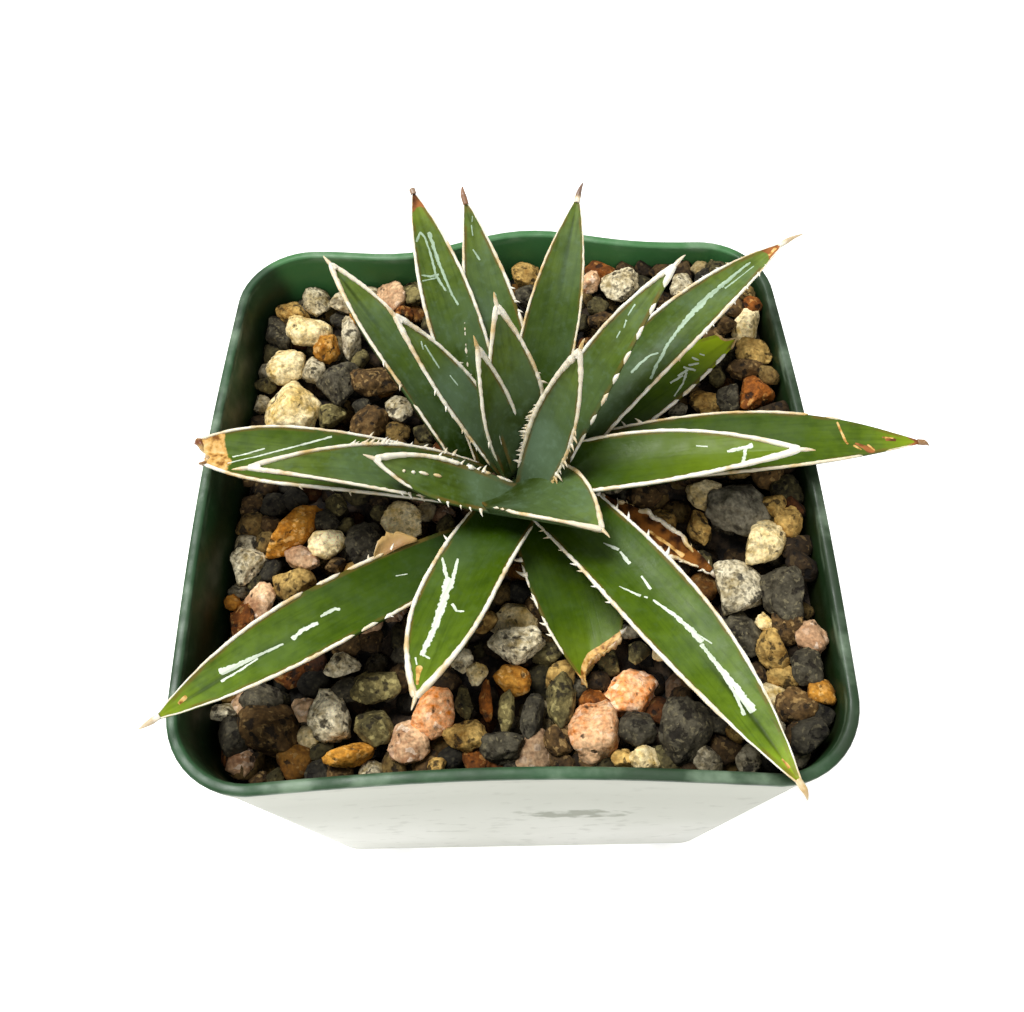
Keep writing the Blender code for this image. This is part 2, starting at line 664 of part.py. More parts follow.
def main() -> None:
    """Builds every piece."""
    clear_scene()
    pot_green = material("pot_green", (0.03, 0.12, 0.055), 0.4)
    gravel_grey = material("gravel_grey", (0.22, 0.19, 0.16), 0.85)
    leaf_blue = material("leaf_blue_green", (0.055, 0.13, 0.06), 0.4)
    leaf_green = material("leaf_green", (0.07, 0.17, 0.025), 0.3)
    leaf_brown = material("leaf_dead_brown", (0.25, 0.1, 0.03), 0.7)
    horn = material("horn_cream", (0.8, 0.74, 0.58), 0.45)
    bark = material("stem_brown", (0.12, 0.08, 0.04), 0.8)
    make_pot(pot_green)
    make_gravel(gravel_grey)
    make_rosette((leaf_blue, leaf_green), leaf_brown, horn, bark)


main()
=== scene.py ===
"""Queen Victoria agave in its square nursery pot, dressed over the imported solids.

Sizes below are in millimetres and degrees, and MM turns them to metres where a mesh is made.
The origin is the centre of the pot's underside, +Z is up and +Y is the back of the pot.
Leaves are numbered from the youngest, in the middle of the rosette, to the oldest.
"""

import json
import logging
import math
import random
from collections.abc import Sequence
from dataclasses import dataclass, field
from enum import Enum
from functools import partial

import bmesh
import bpy
import numpy as np
from bpy.types import ID, Material, Mesh, Node, NodeSocket, NodeTree, Object
from mathutils import Matrix, Vector, noise

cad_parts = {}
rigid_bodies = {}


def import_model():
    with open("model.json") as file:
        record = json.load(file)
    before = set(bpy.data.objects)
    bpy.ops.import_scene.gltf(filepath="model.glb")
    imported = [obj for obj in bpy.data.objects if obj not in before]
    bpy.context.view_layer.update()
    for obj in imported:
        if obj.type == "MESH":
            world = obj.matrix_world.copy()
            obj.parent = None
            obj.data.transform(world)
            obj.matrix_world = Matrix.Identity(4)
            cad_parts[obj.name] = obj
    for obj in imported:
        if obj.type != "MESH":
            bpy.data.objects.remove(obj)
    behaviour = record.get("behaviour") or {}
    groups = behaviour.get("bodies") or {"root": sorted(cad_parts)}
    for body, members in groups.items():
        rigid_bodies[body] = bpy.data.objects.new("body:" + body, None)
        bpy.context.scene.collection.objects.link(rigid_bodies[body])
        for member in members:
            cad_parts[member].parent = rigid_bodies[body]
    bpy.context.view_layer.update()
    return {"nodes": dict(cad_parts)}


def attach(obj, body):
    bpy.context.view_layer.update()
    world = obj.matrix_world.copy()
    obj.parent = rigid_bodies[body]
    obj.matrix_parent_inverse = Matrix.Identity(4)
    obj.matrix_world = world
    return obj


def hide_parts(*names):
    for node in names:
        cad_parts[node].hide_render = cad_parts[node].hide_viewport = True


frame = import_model()

LOG = logging.getLogger("agave")
MM = 0.001
BODY = "root"
GN = "GeometryNode"

# ---------------------------------------------------------------- sizes shared with the solids
POT_HEIGHT = 82.0
RIM_HALF = 44.5
BASE_HALF = 36.9
RIM_CORNER = 11.3
BASE_CORNER = 6.6
WALL = 1.2  # the shell's thickness
COLLAR_HEIGHT = 3.4  # the thicker band round the rim
COLLAR_PROUD = 0.3
WAIST = 39.0  # a section half way up
FLOOR_UNDER = 1.2  # the floor's underside, above the feet
FLOOR_TOP = 2.6
FOOT_INSET = 9.5  # from the wall to a foot's middle
FOOT_RADIUS = 5.0
PAD_RADIUS = 9.0
DRAIN_RADIUS = 3.2
DRAIN_OUT = 21.0  # from the middle to a drain hole's centre
BOW_FRONT = -1.4  # how far the middle of each side of the rim bows out
BOW_SIDE = 0.95
BOW_BACK = 2.1
WAVE_BACK = (1.8, 1.2)  # the back side's second and third waves
GRAVEL_LEVEL = 74.3  # at the middle of the pot
GRAVEL_SLOPE = (0.07, 0.05)  # rise along X and along Y
BANK_RIGHT = 2.6  # the stones are banked up against the right wall
MOUND_HEIGHT = 1.0  # the heap round the stem
MOUND_RADIUS = 15.0
SHEATH = 4.5  # how far a leaf runs behind its foot, into the stem
SHEATH_WIDTH = 0.75  # how wide it ends, as a share of the foot's width
BASE_THICK = 1.6  # how much thicker a leaf is at its foot
BASE_LENGTH = 11.0  # and how far along that goes
BLADE_THICK = 0.24  # how much thicker the middle is, as a share of the half width
BLADE_EDGE = 0.7  # the thickness at the margins
CHANNEL = 0.24  # the channel's depth, as a share of the half width
TONES = ("tan", "grey", "brown")  # the numbers that horn carries for its finish
PATH_STEPS = 64
BLADE_END = 0.3  # half the width where the blade ends, and the least that a place across is taken against
CORD_END = 0.28  # half the width where the horny margins end


def linear(colour: str) -> tuple:
    """Turns an sRGB hex colour to linear.

    Args:
        colour: the colour as #rrggbb.

    Returns:
        Linear red, green, blue and an alpha of 1.
    """
    parts = [int(colour[i : i + 2], 16) / 255 for i in (1, 3, 5)]
    return (*[c / 12.92 if c <= 0.04045 else ((c + 0.055) / 1.055) ** 2.4 for c in parts], 1.0)


Value = NodeSocket | ID | float | bool | str | tuple


class Kind(Enum):
    """The kinds of node that are used most: type, inputs in order, output and settings."""

    PLACE = ("ShaderNodeTexCoord", (), "Object", {})
    NUMBER = ("ShaderNodeAttribute", (), "Fac", {})
    STRETCH = ("ShaderNodeMapping", ("Vector", "Scale"), 0, {})
    NOISE = ("ShaderNodeTexNoise", ("Vector", "Scale", "Detail"), 0, {})
    RAMP = ("ShaderNodeValToRGB", (0,), 0, {})
    MIX = ("ShaderNodeMix", (0, 6, 7), 2, {"data_type": "RGBA"})
    SPAN = ("ShaderNodeMapRange", (0, 1, 2, 3, 4), 0, {"interpolation_type": "SMOOTHSTEP"})
    BUMP = ("ShaderNodeBump", ("Height", "Distance", "Strength"), 0, {})
    PLUS = ("ShaderNodeMath", (0, 1), 0, {"operation": "ADD"})
    MINUS = ("ShaderNodeMath", (0, 1), 0, {"operation": "SUBTRACT"})
    TIMES = ("ShaderNodeMath", (0, 1), 0, {"operation": "MULTIPLY"})
    OVER = ("ShaderNodeMath", (0, 1), 0, {"operation": "DIVIDE"})
    POWER = ("ShaderNodeMath", (0, 1), 0, {"operation": "POWER"})
    UNSIGNED = ("ShaderNodeMath", (0,), 0, {"operation": "ABSOLUTE"})
    STORED = (GN + "InputNamedAttribute", ("Name",), 0, {"data_type": "FLOAT"})
    STORED_VECTOR = (GN + "InputNamedAttribute", ("Name",), 0, {"data_type": "FLOAT_VECTOR"})


def set_input(tree: NodeTree, target: NodeSocket, value: Value) -> None:
    """Links an input, or sets its own value.

    Args:
        tree: the tree that it is in.
        target: the input.
        value: a socket to link from, or a value. An sRGB hex colour is turned to linear.
    """
    if isinstance(value, NodeSocket):
        tree.links.new(value, target)
    else:
        target.default_value = linear(value) if isinstance(value, str) and value.startswith("#") else value


def add_node(
    tree: NodeTree,
    kind: Kind | str,
    *values: Value,
    inputs: dict | None = None,
    stops: tuple = (),
    output: str | int | None = None,
    **settings: object,
) -> NodeSocket | None:
    """Adds a node with its settings and links.

    Args:
        tree: the tree that it goes in.
        kind: one of the kinds above, or a node's type.
        *values: values, or sockets to link from, for the inputs in order.
        inputs: the same by the input's name or number. A list links several.
        stops: a colour ramp's stops, as pairs of a place from 0 to 1 and an sRGB hex colour.
        output: the output that is wanted, if it isn't the kind's own or the first.
        **settings: the node's own properties.

    Returns:
        The node's output, or None if it has none.
    """
    name, slots, own, fixed = kind.value if isinstance(kind, Kind) else (kind, range(len(values)), 0, {})
    node = tree.nodes.new(name)
    for setting, value in {**fixed, **settings}.items():
        setattr(node, setting, value)
    for key, value in [*zip(slots, values), *(inputs or {}).items()]:
        for item in value if isinstance(value, list) else [value]:
            set_input(tree, node.inputs[key], item)
    if stops:
        elements = node.color_ramp.elements
        while len(elements) < len(stops):
            elements.new(0.5)
        for element, (at, colour) in zip(elements, stops):
            element.position, element.color = at, linear(colour)
    return node.outputs[own if output is None else output] if node.outputs else None


def per(size: float) -> float:
    """The scale of a pattern whose features are some size in millimetres across."""
    return 0.5 / (size * MM)


def new_material(name: str) -> tuple:
    """Makes an empty Principled material.

    Args:
        name: the material's name.

    Returns:
        The material, its tree, its shader and its coordinates on the object.
    """
    made = bpy.data.materials.new(name)
    made.use_nodes = True
    tree = made.node_tree
    return made, tree, tree.nodes["Principled BSDF"], add_node(tree, Kind.PLACE)


def connect(tree: NodeTree, shader: Node, **sockets: Value) -> None:
    """Links or sets the shader's inputs.

    Args:
        tree: the material's tree.
        shader: its Principled node.
        **sockets: a value or a socket for each input, named with underscores for spaces.
    """
    for name, value in sockets.items():
        set_input(tree, shader.inputs[name.replace("_", " ")], value)


# ---------------------------------------------------------------- finishes
@dataclass(frozen=True)
class MouldedPolypropylene:
    """Thin injection-moulded polypropylene: a satin green skin with soft broad glints, faint flow marks and dust."""

    name: str = "moulded_polypropylene_green"
    deep: str = "#152c14"
    face: str = "#244b2a"
    dust: str = "#5f7a5c"
    lip_worn_and_highlit: str = "#93a98e"
    inner_shade: str = "#141c08"
    back_wall_light: str = "#437a44"

    def make(self) -> Material:
        """Makes the material.

        Returns:
            The material.
        """
        made, tree, shader, here = new_material(self.name)
        node = partial(add_node, tree)
        flow = node(Kind.NOISE, node(Kind.STRETCH, here, (1, 1, 0.3)), per(9.0), 3.0)
        colour = node(Kind.RAMP, flow, stops=((0.35, self.deep), (0.65, self.face)))
        film = node(Kind.SPAN, node(Kind.NOISE, here, per(2.2), 6.0), 0.5, 0.8, 0.0, 0.35)
        colour = node(Kind.MIX, film, colour, self.dust)
        # The lip's top is painted pale, as wear and painted highlight, and below it the inside is painted shade.
        height = node("ShaderNodeSeparateXYZ", here, output="Z")
        edge = node(Kind.SPAN, height, (POT_HEIGHT - 1.6) * MM, (POT_HEIGHT - 0.4) * MM)
        rubs = node(Kind.NOISE, node(Kind.STRETCH, here, (0.3, 0.3, 1)), per(1.1), 6.0)
        lip_wear_and_highlight = node(Kind.SPAN, rubs, 0.45, 0.75, 0.05, 0.6)
        inner_shade = node(Kind.SPAN, height, (POT_HEIGHT - 6.0) * MM, (POT_HEIGHT - 1.5) * MM, 0.75, 0.0)
        # The back wall is painted lighter as painted light, and the right wall is painted shade up to the lip.
        across, depth = (node("ShaderNodeSeparateXYZ", here, output=axis) for axis in "XY")
        # Painted light: the back wall is drawn a lighter green.
        back_wall_lit = node(Kind.SPAN, depth, 40.0 * MM, 42.0 * MM, 0.0, 0.85)
        colour = node(Kind.MIX, back_wall_lit, colour, self.back_wall_light)
        inner_shade = node(Kind.TIMES, inner_shade, node(Kind.MINUS, 1.0, back_wall_lit))
        # Painted shade: the right wall is darkened up to the lip.
        inner_shade = node(Kind.PLUS, inner_shade, node(Kind.SPAN, across, 38.0 * MM, 42.0 * MM, 0.0, 0.6))
        colour = node(Kind.MIX, inner_shade, colour, self.inner_shade)
        # Partly wear and partly painted highlight: the top of the lip is painted paler in rubbed patches.
        colour = node(Kind.MIX, node(Kind.TIMES, edge, lip_wear_and_highlight), colour, self.lip_worn_and_highlit)
        rough = node(Kind.SPAN, node(Kind.NOISE, here, per(1.2), 4.0), 0.3, 0.7, 0.34, 0.55)
        normal = node(Kind.BUMP, node(Kind.NOISE, here, per(0.6), 2.0), 0.04 * MM, 0.6)
        connect(tree, shader, Base_Color=colour, Roughness=rough, Normal=normal, IOR=1.49, Specular_IOR_Level=0.3)
        return made


@dataclass(frozen=True)
class ChalkedPolypropylene:
    """The same plastic outside, under a film of lime from hard water: pale, dull and rubbed through in places."""

    name: str = "chalked_polypropylene_pale"
    film: str = "#d9d9d2"
    thin: str = "#c6c7bd"
    rubbed: str = "#6f735f"
    faint: str = "#a9ab9e"  # painted shade, towards the rim
    line: str = "#3c4038"
    dirt: str = "#8b8c80"
    scuff: tuple = (9.0, 50.0)  # the place along X and the height of the rubbed patch on the front
    feet: tuple = (-22.5, 27.5)  # painted contact shadow: the places along X of the dark lines on the bottom edge, over the feet

    def make(self) -> Material:
        """Makes the material.

        Returns:
            The material.
        """
        made, tree, shader, here = new_material(self.name)
        node = partial(add_node, tree)
        cloud = node(Kind.NOISE, here, per(14.0), 4.0)
        colour = node(Kind.RAMP, cloud, stops=((0.3, self.thin), (0.7, self.film)))
        across, depth, height = (node("ShaderNodeSeparateXYZ", here, output=axis) for axis in "XYZ")
        # Painted shade: the outer wall is drawn darker as it rises towards the rim.
        shade = node(Kind.SPAN, height, 0.01, 0.075, 0.0, 0.85)
        colour = node(Kind.MIX, shade, colour, self.faint)
        # The rubbed patch is a ragged ellipse on the front wall.
        wide = node(Kind.OVER, node(Kind.MINUS, across, self.scuff[0] * MM), 9.0 * MM)
        tall = node(Kind.OVER, node(Kind.MINUS, height, self.scuff[1] * MM), 4.5 * MM)
        away = node(Kind.PLUS, node(Kind.POWER, wide, 2.0), node(Kind.POWER, tall, 2.0))
        ragged = node(Kind.SPAN, node(Kind.NOISE, here, per(1.6), 5.0), 0.3, 0.7, -0.6, 0.9)
        scuff = node(Kind.SPAN, node(Kind.PLUS, away, ragged), 0.1, 1.2, 0.75, 0.0)
        front = node(Kind.SPAN, depth, -0.036, -0.034, 1.0, 0.0)
        colour = node(Kind.MIX, node(Kind.TIMES, scuff, front), colour, self.rubbed)
        # Painted contact shadow: a dark line along the bottom edge over each foot.
        low = node(Kind.SPAN, height, 0.0018, 0.0026, 0.8, 0.0)
        for spot in self.feet:
            off = node(Kind.UNSIGNED, node(Kind.MINUS, across, spot * MM))
            foot = node(Kind.TIMES, low, node(Kind.SPAN, off, 0.002, 0.003, 1.0, 0.0))
            colour = node(Kind.MIX, foot, colour, self.line)
        dirt = node(Kind.SPAN, node(Kind.NOISE, here, per(1.6), 6.0), 0.56, 0.72, 0.0, 0.3)
        colour = node(Kind.MIX, dirt, colour, self.dirt)
        normal = node(Kind.BUMP, node(Kind.NOISE, here, per(0.5), 3.0), 0.03 * MM, 0.6)
        connect(tree, shader, Base_Color=colour, Roughness=0.6, Normal=normal, IOR=1.49)
        return made


@dataclass(frozen=True)
class WaxyLeaf:
    """Living agave skin: a thick smooth cuticle, matt and bluish under its wax bloom, yellower where the sun has
    yellowed it, and painted lighter and yellower as painted light where the sun falls on it.

    The white strokes are partly the skin's pale marks where the wax is rubbed, and partly painted highlights.
    Painted shade darkens the foot, the groove and the shaded parts of the blade. Dry parts are brown and dull.
    """

    name: str
    base: str
    blade: str
    tip: str
    flank: str
    bloom: str = "#60765a"
    rubbed: str = "#dde6d3"
    dry: str = "#a26638"
    char: str = "#4a2c18"
    cream: str = "#d6a75c"
    sun: str = "#b0c81a"
    shade: str = "#1a3000"
    groove_shade: str = "#15240a"
    rim: str = "#6e5526"  # the brown line beside the horn
    crumb: str = "#80501f"  # the crust's darkest and lightest parts
    crust: str = "#e9c88c"
    roughness: float = 0.42
    bloom_share: float = 0.32

    def make(self) -> Material:
        """Makes the material, which reads the places that each blade's mesh carries.

        Returns:
            The material.
        """
        made, tree, shader, here = new_material(self.name)
        node = partial(add_node, tree)
        names = ("along", "groove", "under", "bloom", "sun", "deep", "rim", "dry", "cream", "streak")
        along, groove, under, bloom, sun, deep, rim, dry, cream, streak = (
            node(Kind.NUMBER, attribute_name=name) for name in names
        )
        fibre = self.fibres(tree)
        drift = node(Kind.SPAN, node(Kind.NOISE, here, per(2.6), 3.0), 0.2, 0.8, -0.1, 0.1)
        # Painted shade: the ramp is darkest at the foot, where the leaves crowd the crown.
        stops = ((0.08, self.base), (0.55, self.blade), (0.95, self.tip))
        colour = node(Kind.RAMP, node(Kind.PLUS, along, drift), stops=stops)
        veins = node(Kind.SPAN, node(Kind.NOISE, here, per(0.9), 6.0), 0.4, 0.65, 0.0, 0.3)
        colour = node(Kind.MIX, node(Kind.PLUS, veins, fibre), colour, self.base)
        # Painted shade in the groove down the middle of the blade.
        colour = node(Kind.MIX, groove, colour, self.groove_shade)
        colour = node(Kind.MIX, under, colour, self.flank)
        haze = node(Kind.SPAN, node(Kind.NOISE, here, per(4.0), 7.0), 0.42, 0.64)
        flecks = node(Kind.SPAN, node(Kind.NOISE, here, per(0.5), 5.0), 0.5, 0.68, 0.0, 0.55)
        haze = node(Kind.TIMES, node(Kind.PLUS, haze, flecks), self.bloom_share)
        haze = node(Kind.PLUS, haze, bloom)
        colour = node(Kind.MIX, haze, colour, self.bloom)
        # Partly the blade's own yellowing, partly painted light where the sun falls on it.
        colour = node(Kind.MIX, sun, colour, self.sun)
        # Painted shade: the skin is darkened along the blade where it lies in shade.
        colour = node(Kind.MIX, deep, colour, self.shade)
        # A brown line runs beside the horn, broken here and there.
        broken = node(Kind.SPAN, node(Kind.NOISE, here, per(1.6), 3.0), 0.35, 0.6, 0.0, 0.65)
        colour = node(Kind.MIX, node(Kind.TIMES, rim, broken), colour, self.rim)
        ragged = node(Kind.SPAN, node(Kind.NOISE, here, per(0.9), 3.0), 0.3, 0.7, -0.12, 0.12)
        dry = node(Kind.SPAN, node(Kind.PLUS, dry, ragged), 0.42, 0.58)
        stops = ((0.35, self.char), (0.6, self.dry))
        bark = node(Kind.RAMP, node(Kind.NOISE, here, per(0.8), 4.0), stops=stops)
        colour = node(Kind.MIX, dry, colour, bark)
        cream = node(Kind.SPAN, node(Kind.PLUS, cream, ragged), 0.45, 0.6)
        stops = ((0.36, self.crumb), (0.52, self.cream), (0.7, self.crust))
        crust = node(Kind.RAMP, node(Kind.NOISE, here, per(0.5), 4.0), stops=stops)
        colour = node(Kind.MIX, cream, colour, crust)
        # White strokes: partly the skin's pale marks where the wax is rubbed, partly painted highlights in the
        # channels.
        frayed = node(Kind.SPAN, node(Kind.NOISE, here, per(0.3), 4.0), 0.25, 0.75, -0.2, 0.2)
        streak = node(Kind.SPAN, node(Kind.PLUS, streak, frayed), 0.44, 0.58)
        hatch = node(Kind.MINUS, 0.98, node(Kind.TIMES, fibre, 1.2))
        colour = node(Kind.MIX, node(Kind.TIMES, streak, hatch), colour, self.rubbed)
        patchy, low, high = node(Kind.NOISE, here, per(1.5), 3.0), self.roughness - 0.06, self.roughness + 0.1
        rough = node(Kind.SPAN, patchy, 0.3, 0.7, low, high)
        rough = node(Kind.PLUS, rough, node(Kind.TIMES, dry, 0.35))
        grain = node(Kind.NOISE, here, per(0.45), 4.0)
        relief = node(Kind.PLUS, grain, node(Kind.TIMES, fibre, -0.6))
        normal = node(Kind.BUMP, relief, 0.05 * MM, 0.7)
        connect(tree, shader, Base_Color=colour, Roughness=rough, Normal=normal, IOR=1.45, Specular_IOR_Level=0.15)
        return made

    def fibres(self, tree: NodeTree) -> NodeSocket:
        """The leaf's fibres as fine lines along the blade.

        They are a tenth of a millimetre apart on the plant. Here they are half a millimetre apart, because a
        render of the whole plant can't show them closer.

        Args:
            tree: the material's tree.

        Returns:
            How strongly the fibres show at each place.
        """
        node = partial(add_node, tree)
        run, width = (node(Kind.NUMBER, attribute_name=name) for name in ("run", "width"))
        run, width = node(Kind.TIMES, run, 0.12), node(Kind.TIMES, width, 1.9)
        grain = node(Kind.NOISE, node("ShaderNodeCombineXYZ", run, width), 1.0, 4.0)
        return node(Kind.SPAN, grain, 0.42, 0.72, 0.0, 0.3)


@dataclass(frozen=True)
class LeafHorn:
    """Horny leaf margin: dense ivory tissue like fingernail, smooth and a little glossy, tan where thin or old."""

    name: str = "leaf_horn_ivory"
    ivory: str = "#f8f4e4"
    tan: str = "#cfae6c"
    grey: str = "#6d5c58"
    brown: str = "#7b4a2a"

    def make(self) -> Material:
        """Makes the material, which reads the mesh's tan, grey and brown shares.

        Returns:
            The material.
        """
        made, tree, shader, here = new_material(self.name)
        node = partial(add_node, tree)
        tan, grey, brown = (node(Kind.NUMBER, attribute_name=name) for name in TONES)
        patch = node(Kind.SPAN, node(Kind.NOISE, here, per(1.8), 4.0), 0.44, 0.72, 0.0, 0.75)
        patch = node(Kind.PLUS, patch, tan)
        colour = node(Kind.MIX, patch, self.ivory, self.tan)
        colour = node(Kind.MIX, grey, colour, self.grey)
        colour = node(Kind.MIX, brown, colour, self.brown)
        normal = node(Kind.BUMP, node(Kind.NOISE, here, per(0.3), 3.0), 0.04 * MM, 0.7)
        connect(tree, shader, Base_Color=colour, Roughness=0.38, Normal=normal, IOR=1.54)
        connect(tree, shader, Subsurface_Weight=0.2, Subsurface_Scale=0.5 * MM, Subsurface_Radius=(1.0, 0.8, 0.5))
        return made


@dataclass(frozen=True)
class PotStone:
    """Crushed pumice, granite and river stone: dry and dull, with broken faces, grains, pits and specks."""

    name: str
    body: str
    second: str
    speck: str
    speck_share: float
    grain: float = 0.9  # millimetres across a patch
    roughness: float = 0.85
    pit_shade: str = "#15100a"
    pits: float = 0.42  # the share of pits, painted dark as shade
    stretch: tuple = (1.0, 1.0, 1.0)  # below 1 along the layers of a banded stone

    def make(self) -> Material:
        """Makes the material. Each stone's tone shifts it lighter or darker.

        Returns:
            The material.
        """
        made, tree, shader, here = new_material("stone_" + self.name)
        node = partial(add_node, tree)
        layers = node(Kind.STRETCH, here, self.stretch)
        coarse = node(Kind.TIMES, node(Kind.NOISE, layers, per(self.grain * 2.4), 5.0), 0.6)
        fine = node(Kind.TIMES, node(Kind.NOISE, here, per(0.42), 4.0), 0.4)
        stops = ((0.36, self.second), (0.6, self.body))
        colour = node(Kind.RAMP, node(Kind.PLUS, coarse, fine), stops=stops)
        stain = node(Kind.SPAN, node(Kind.NOISE, here, per(3.6), 4.0), 0.48, 0.7, 0.0, 0.6)
        colour = node(Kind.MIX, stain, colour, self.second)
        # The crystals are cells of warped space, and the brightest of them are specks.
        warp = node(Kind.NOISE, here, per(0.7), 3.0, output="Color")
        warp = node("ShaderNodeVectorMath", warp, (0.0016, 0.0016, 0.0016), operation="MULTIPLY")
        warp = node("ShaderNodeVectorMath", here, warp, operation="ADD")
        inputs = {"Vector": warp, "Scale": 1.5 / (self.grain * MM)}
        crystals = node("ShaderNodeTexVoronoi", inputs=inputs, output="Color")
        bright, cut = node("ShaderNodeSeparateColor", crystals), 1.0 - self.speck_share
        specks = node(Kind.SPAN, bright, cut - 0.1, cut + 0.1, 0.0, 0.5)
        colour = node(Kind.MIX, specks, colour, self.speck)
        holes = node(Kind.NOISE, here, per(0.75), 5.0)
        hollow = node(Kind.SPAN, holes, self.pits - 0.07, self.pits + 0.02, 0.85, 0.0)
        # Painted shade: the pits are darkened, besides the dent that the bump gives them.
        colour = node(Kind.MIX, hollow, colour, self.pit_shade)
        tone = node(Kind.NUMBER, attribute_name="tone")
        tone = node(Kind.SPAN, tone, 0.0, 1.0, 0.25, 1.3)
        grit = node(Kind.NOISE, here, per(0.25), 3.0)
        tone = node(Kind.TIMES, tone, node(Kind.SPAN, grit, 0.3, 0.7, 0.7, 1.25))
        colour = node("ShaderNodeHueSaturation", inputs={"Color": colour, "Value": tone, "Saturation": 1.06})
        rise = node(Kind.NOISE, here, per(1.2), 6.0)
        relief = node(Kind.PLUS, rise, node(Kind.TIMES, hollow, -0.25))
        normal = node(Kind.BUMP, relief, 0.9 * MM, 0.9)
        connect(tree, shader, Base_Color=colour, Roughness=self.roughness, Normal=normal, IOR=1.52)
        connect(tree, shader, Specular_IOR_Level=0.25)
        return made


@dataclass(frozen=True)
class DarkGrit:
    """The fines between the stones: wet peat and sand, almost black and quite dull."""

    name: str = "peat_and_grit"
    peat: str = "#17120c"
    sand: str = "#5b4a36"

    def make(self) -> Material:
        """Makes the material.

        Returns:
            The material.
        """
        made, tree, shader, here = new_material(self.name)
        node = partial(add_node, tree)
        grains = node(Kind.NOISE, here, per(0.9), 6.0)
        colour = node(Kind.RAMP, grains, stops=((0.45, self.peat), (0.75, self.sand)))
        normal = node(Kind.BUMP, node(Kind.NOISE, here, per(0.8), 6.0), 0.6 * MM, 1.0)
        connect(tree, shader, Base_Color=colour, Roughness=0.92, Normal=normal)
        return made


@dataclass(frozen=True)
class FibrousStem:
    """The short woody stem: dull brown, ringed with the scars of old leaves."""

    name: str = "fibrous_stem"
    scar: str = "#2e2415"
    bark: str = "#6d5738"

    def make(self) -> Material:
        """Makes the material.

        Returns:
            The material.
        """
        made, tree, shader, here = new_material(self.name)
        node = partial(add_node, tree)
        rings = node(Kind.NOISE, node(Kind.STRETCH, here, (0.4, 0.4, 2.5)), per(1.0), 5.0)
        colour = node(Kind.RAMP, rings, stops=((0.35, self.scar), (0.7, self.bark)))
        connect(tree, shader, Base_Color=colour, Roughness=0.85, Normal=node(Kind.BUMP, rings, 0.4 * MM, 1.0))
        return made


@dataclass(frozen=True)
class PaleFloor:
    """Opal acrylic, lit a little from below: a light table, which keeps the ground white and its shadow faint."""

    name: str = "opal_acrylic_light_table"
    glow: float = 0.62
    colour: str = "#f7f7f5"
    cloud: str = "#f2f2f0"

    def make(self) -> Material:
        """Makes the material.

        Returns:
            The material.
        """
        made, tree, shader, here = new_material(self.name)
        node = partial(add_node, tree)
        cloud = node(Kind.NOISE, here, per(60.0), 3.0)
        colour = node(Kind.MIX, cloud, self.colour, self.cloud)
        connect(tree, shader, Base_Color=colour, Roughness=0.8)
        connect(tree, shader, Emission_Color=self.colour, Emission_Strength=self.glow)
        return made


# ---------------------------------------------------------------- meshes
def new_object(name: str, data: ID) -> Object:
    """Puts a mesh, a light or a camera in the scene as an object at the origin.

    Args:
        name: the object's name.
        data: what it shows.

    Returns:
        The object.
    """
    obj = bpy.data.objects.new(name, data)
    bpy.context.scene.collection.objects.link(obj)
    return obj


def mesh_object(name: str, points: Sequence, faces: list, materials: list, smooth: bool = True) -> Object:
    """Makes an object at the origin from points in millimetres, with its faces turned outwards.

    Args:
        name: the object's name.
        points: the points.
        faces: lists of point numbers.
        materials: the materials of its slots.
        smooth: whether its faces are shaded smooth.

    Returns:
        The object, in the scene.
    """
    mesh = bpy.data.meshes.new(name)
    mesh.from_pydata([tuple(float(c) * MM for c in p) for p in points], [], faces)
    bm = bmesh.new()
    bm.from_mesh(mesh)
    bmesh.ops.recalc_face_normals(bm, faces=bm.faces)
    bm.to_mesh(mesh)
    bm.free()
    mesh.polygons.foreach_set("use_smooth", [smooth] * len(mesh.polygons))
    for made in materials:
        mesh.materials.append(made)
    return new_object(name, mesh)


def grid_faces(rings: int, count: int) -> list:
    """The faces of a closed loft through rings of count points, with a cap at each end.

    Args:
        rings: how many rings.
        count: points in a ring.

    Returns:
        Lists of point numbers.
    """
    faces = [list(range(count))]
    for ring in range(rings - 1):
        low, high = ring * count, (ring + 1) * count
        for i in range(count):
            j = (i + 1) % count
            faces.append([low + i, low + j, high + j, high + i])
    faces.append([(rings - 1) * count + i for i in range(count)])
    return faces


def set_numbers(mesh: Mesh, name: str, values: Sequence) -> None:
    """Stores a number, or a vector, for each point of a mesh.

    Args:
        mesh: the mesh.
        name: what the numbers are called.
        values: one for each point.
    """
    values = np.asarray(values, dtype=np.float32)
    kind, key = ("FLOAT_VECTOR", "vector") if values.ndim == 2 else ("FLOAT", "value")
    mesh.attributes.new(name, kind, "POINT").data.foreach_set(key, values.ravel())


def to_plain(obj: Object, name: str) -> Object:
    """Turns an object with live modifiers to a plain mesh object of another name.

    Args:
        obj: the object, which is used up.
        name: the result's name.

    Returns:
        The plain object.
    """
    bpy.context.view_layer.update()
    graph = bpy.context.evaluated_depsgraph_get()
    mesh = bpy.data.meshes.new_from_object(obj.evaluated_get(graph))
    bpy.data.objects.remove(obj, do_unlink=True)
    mesh.name = name
    return new_object(name, mesh)


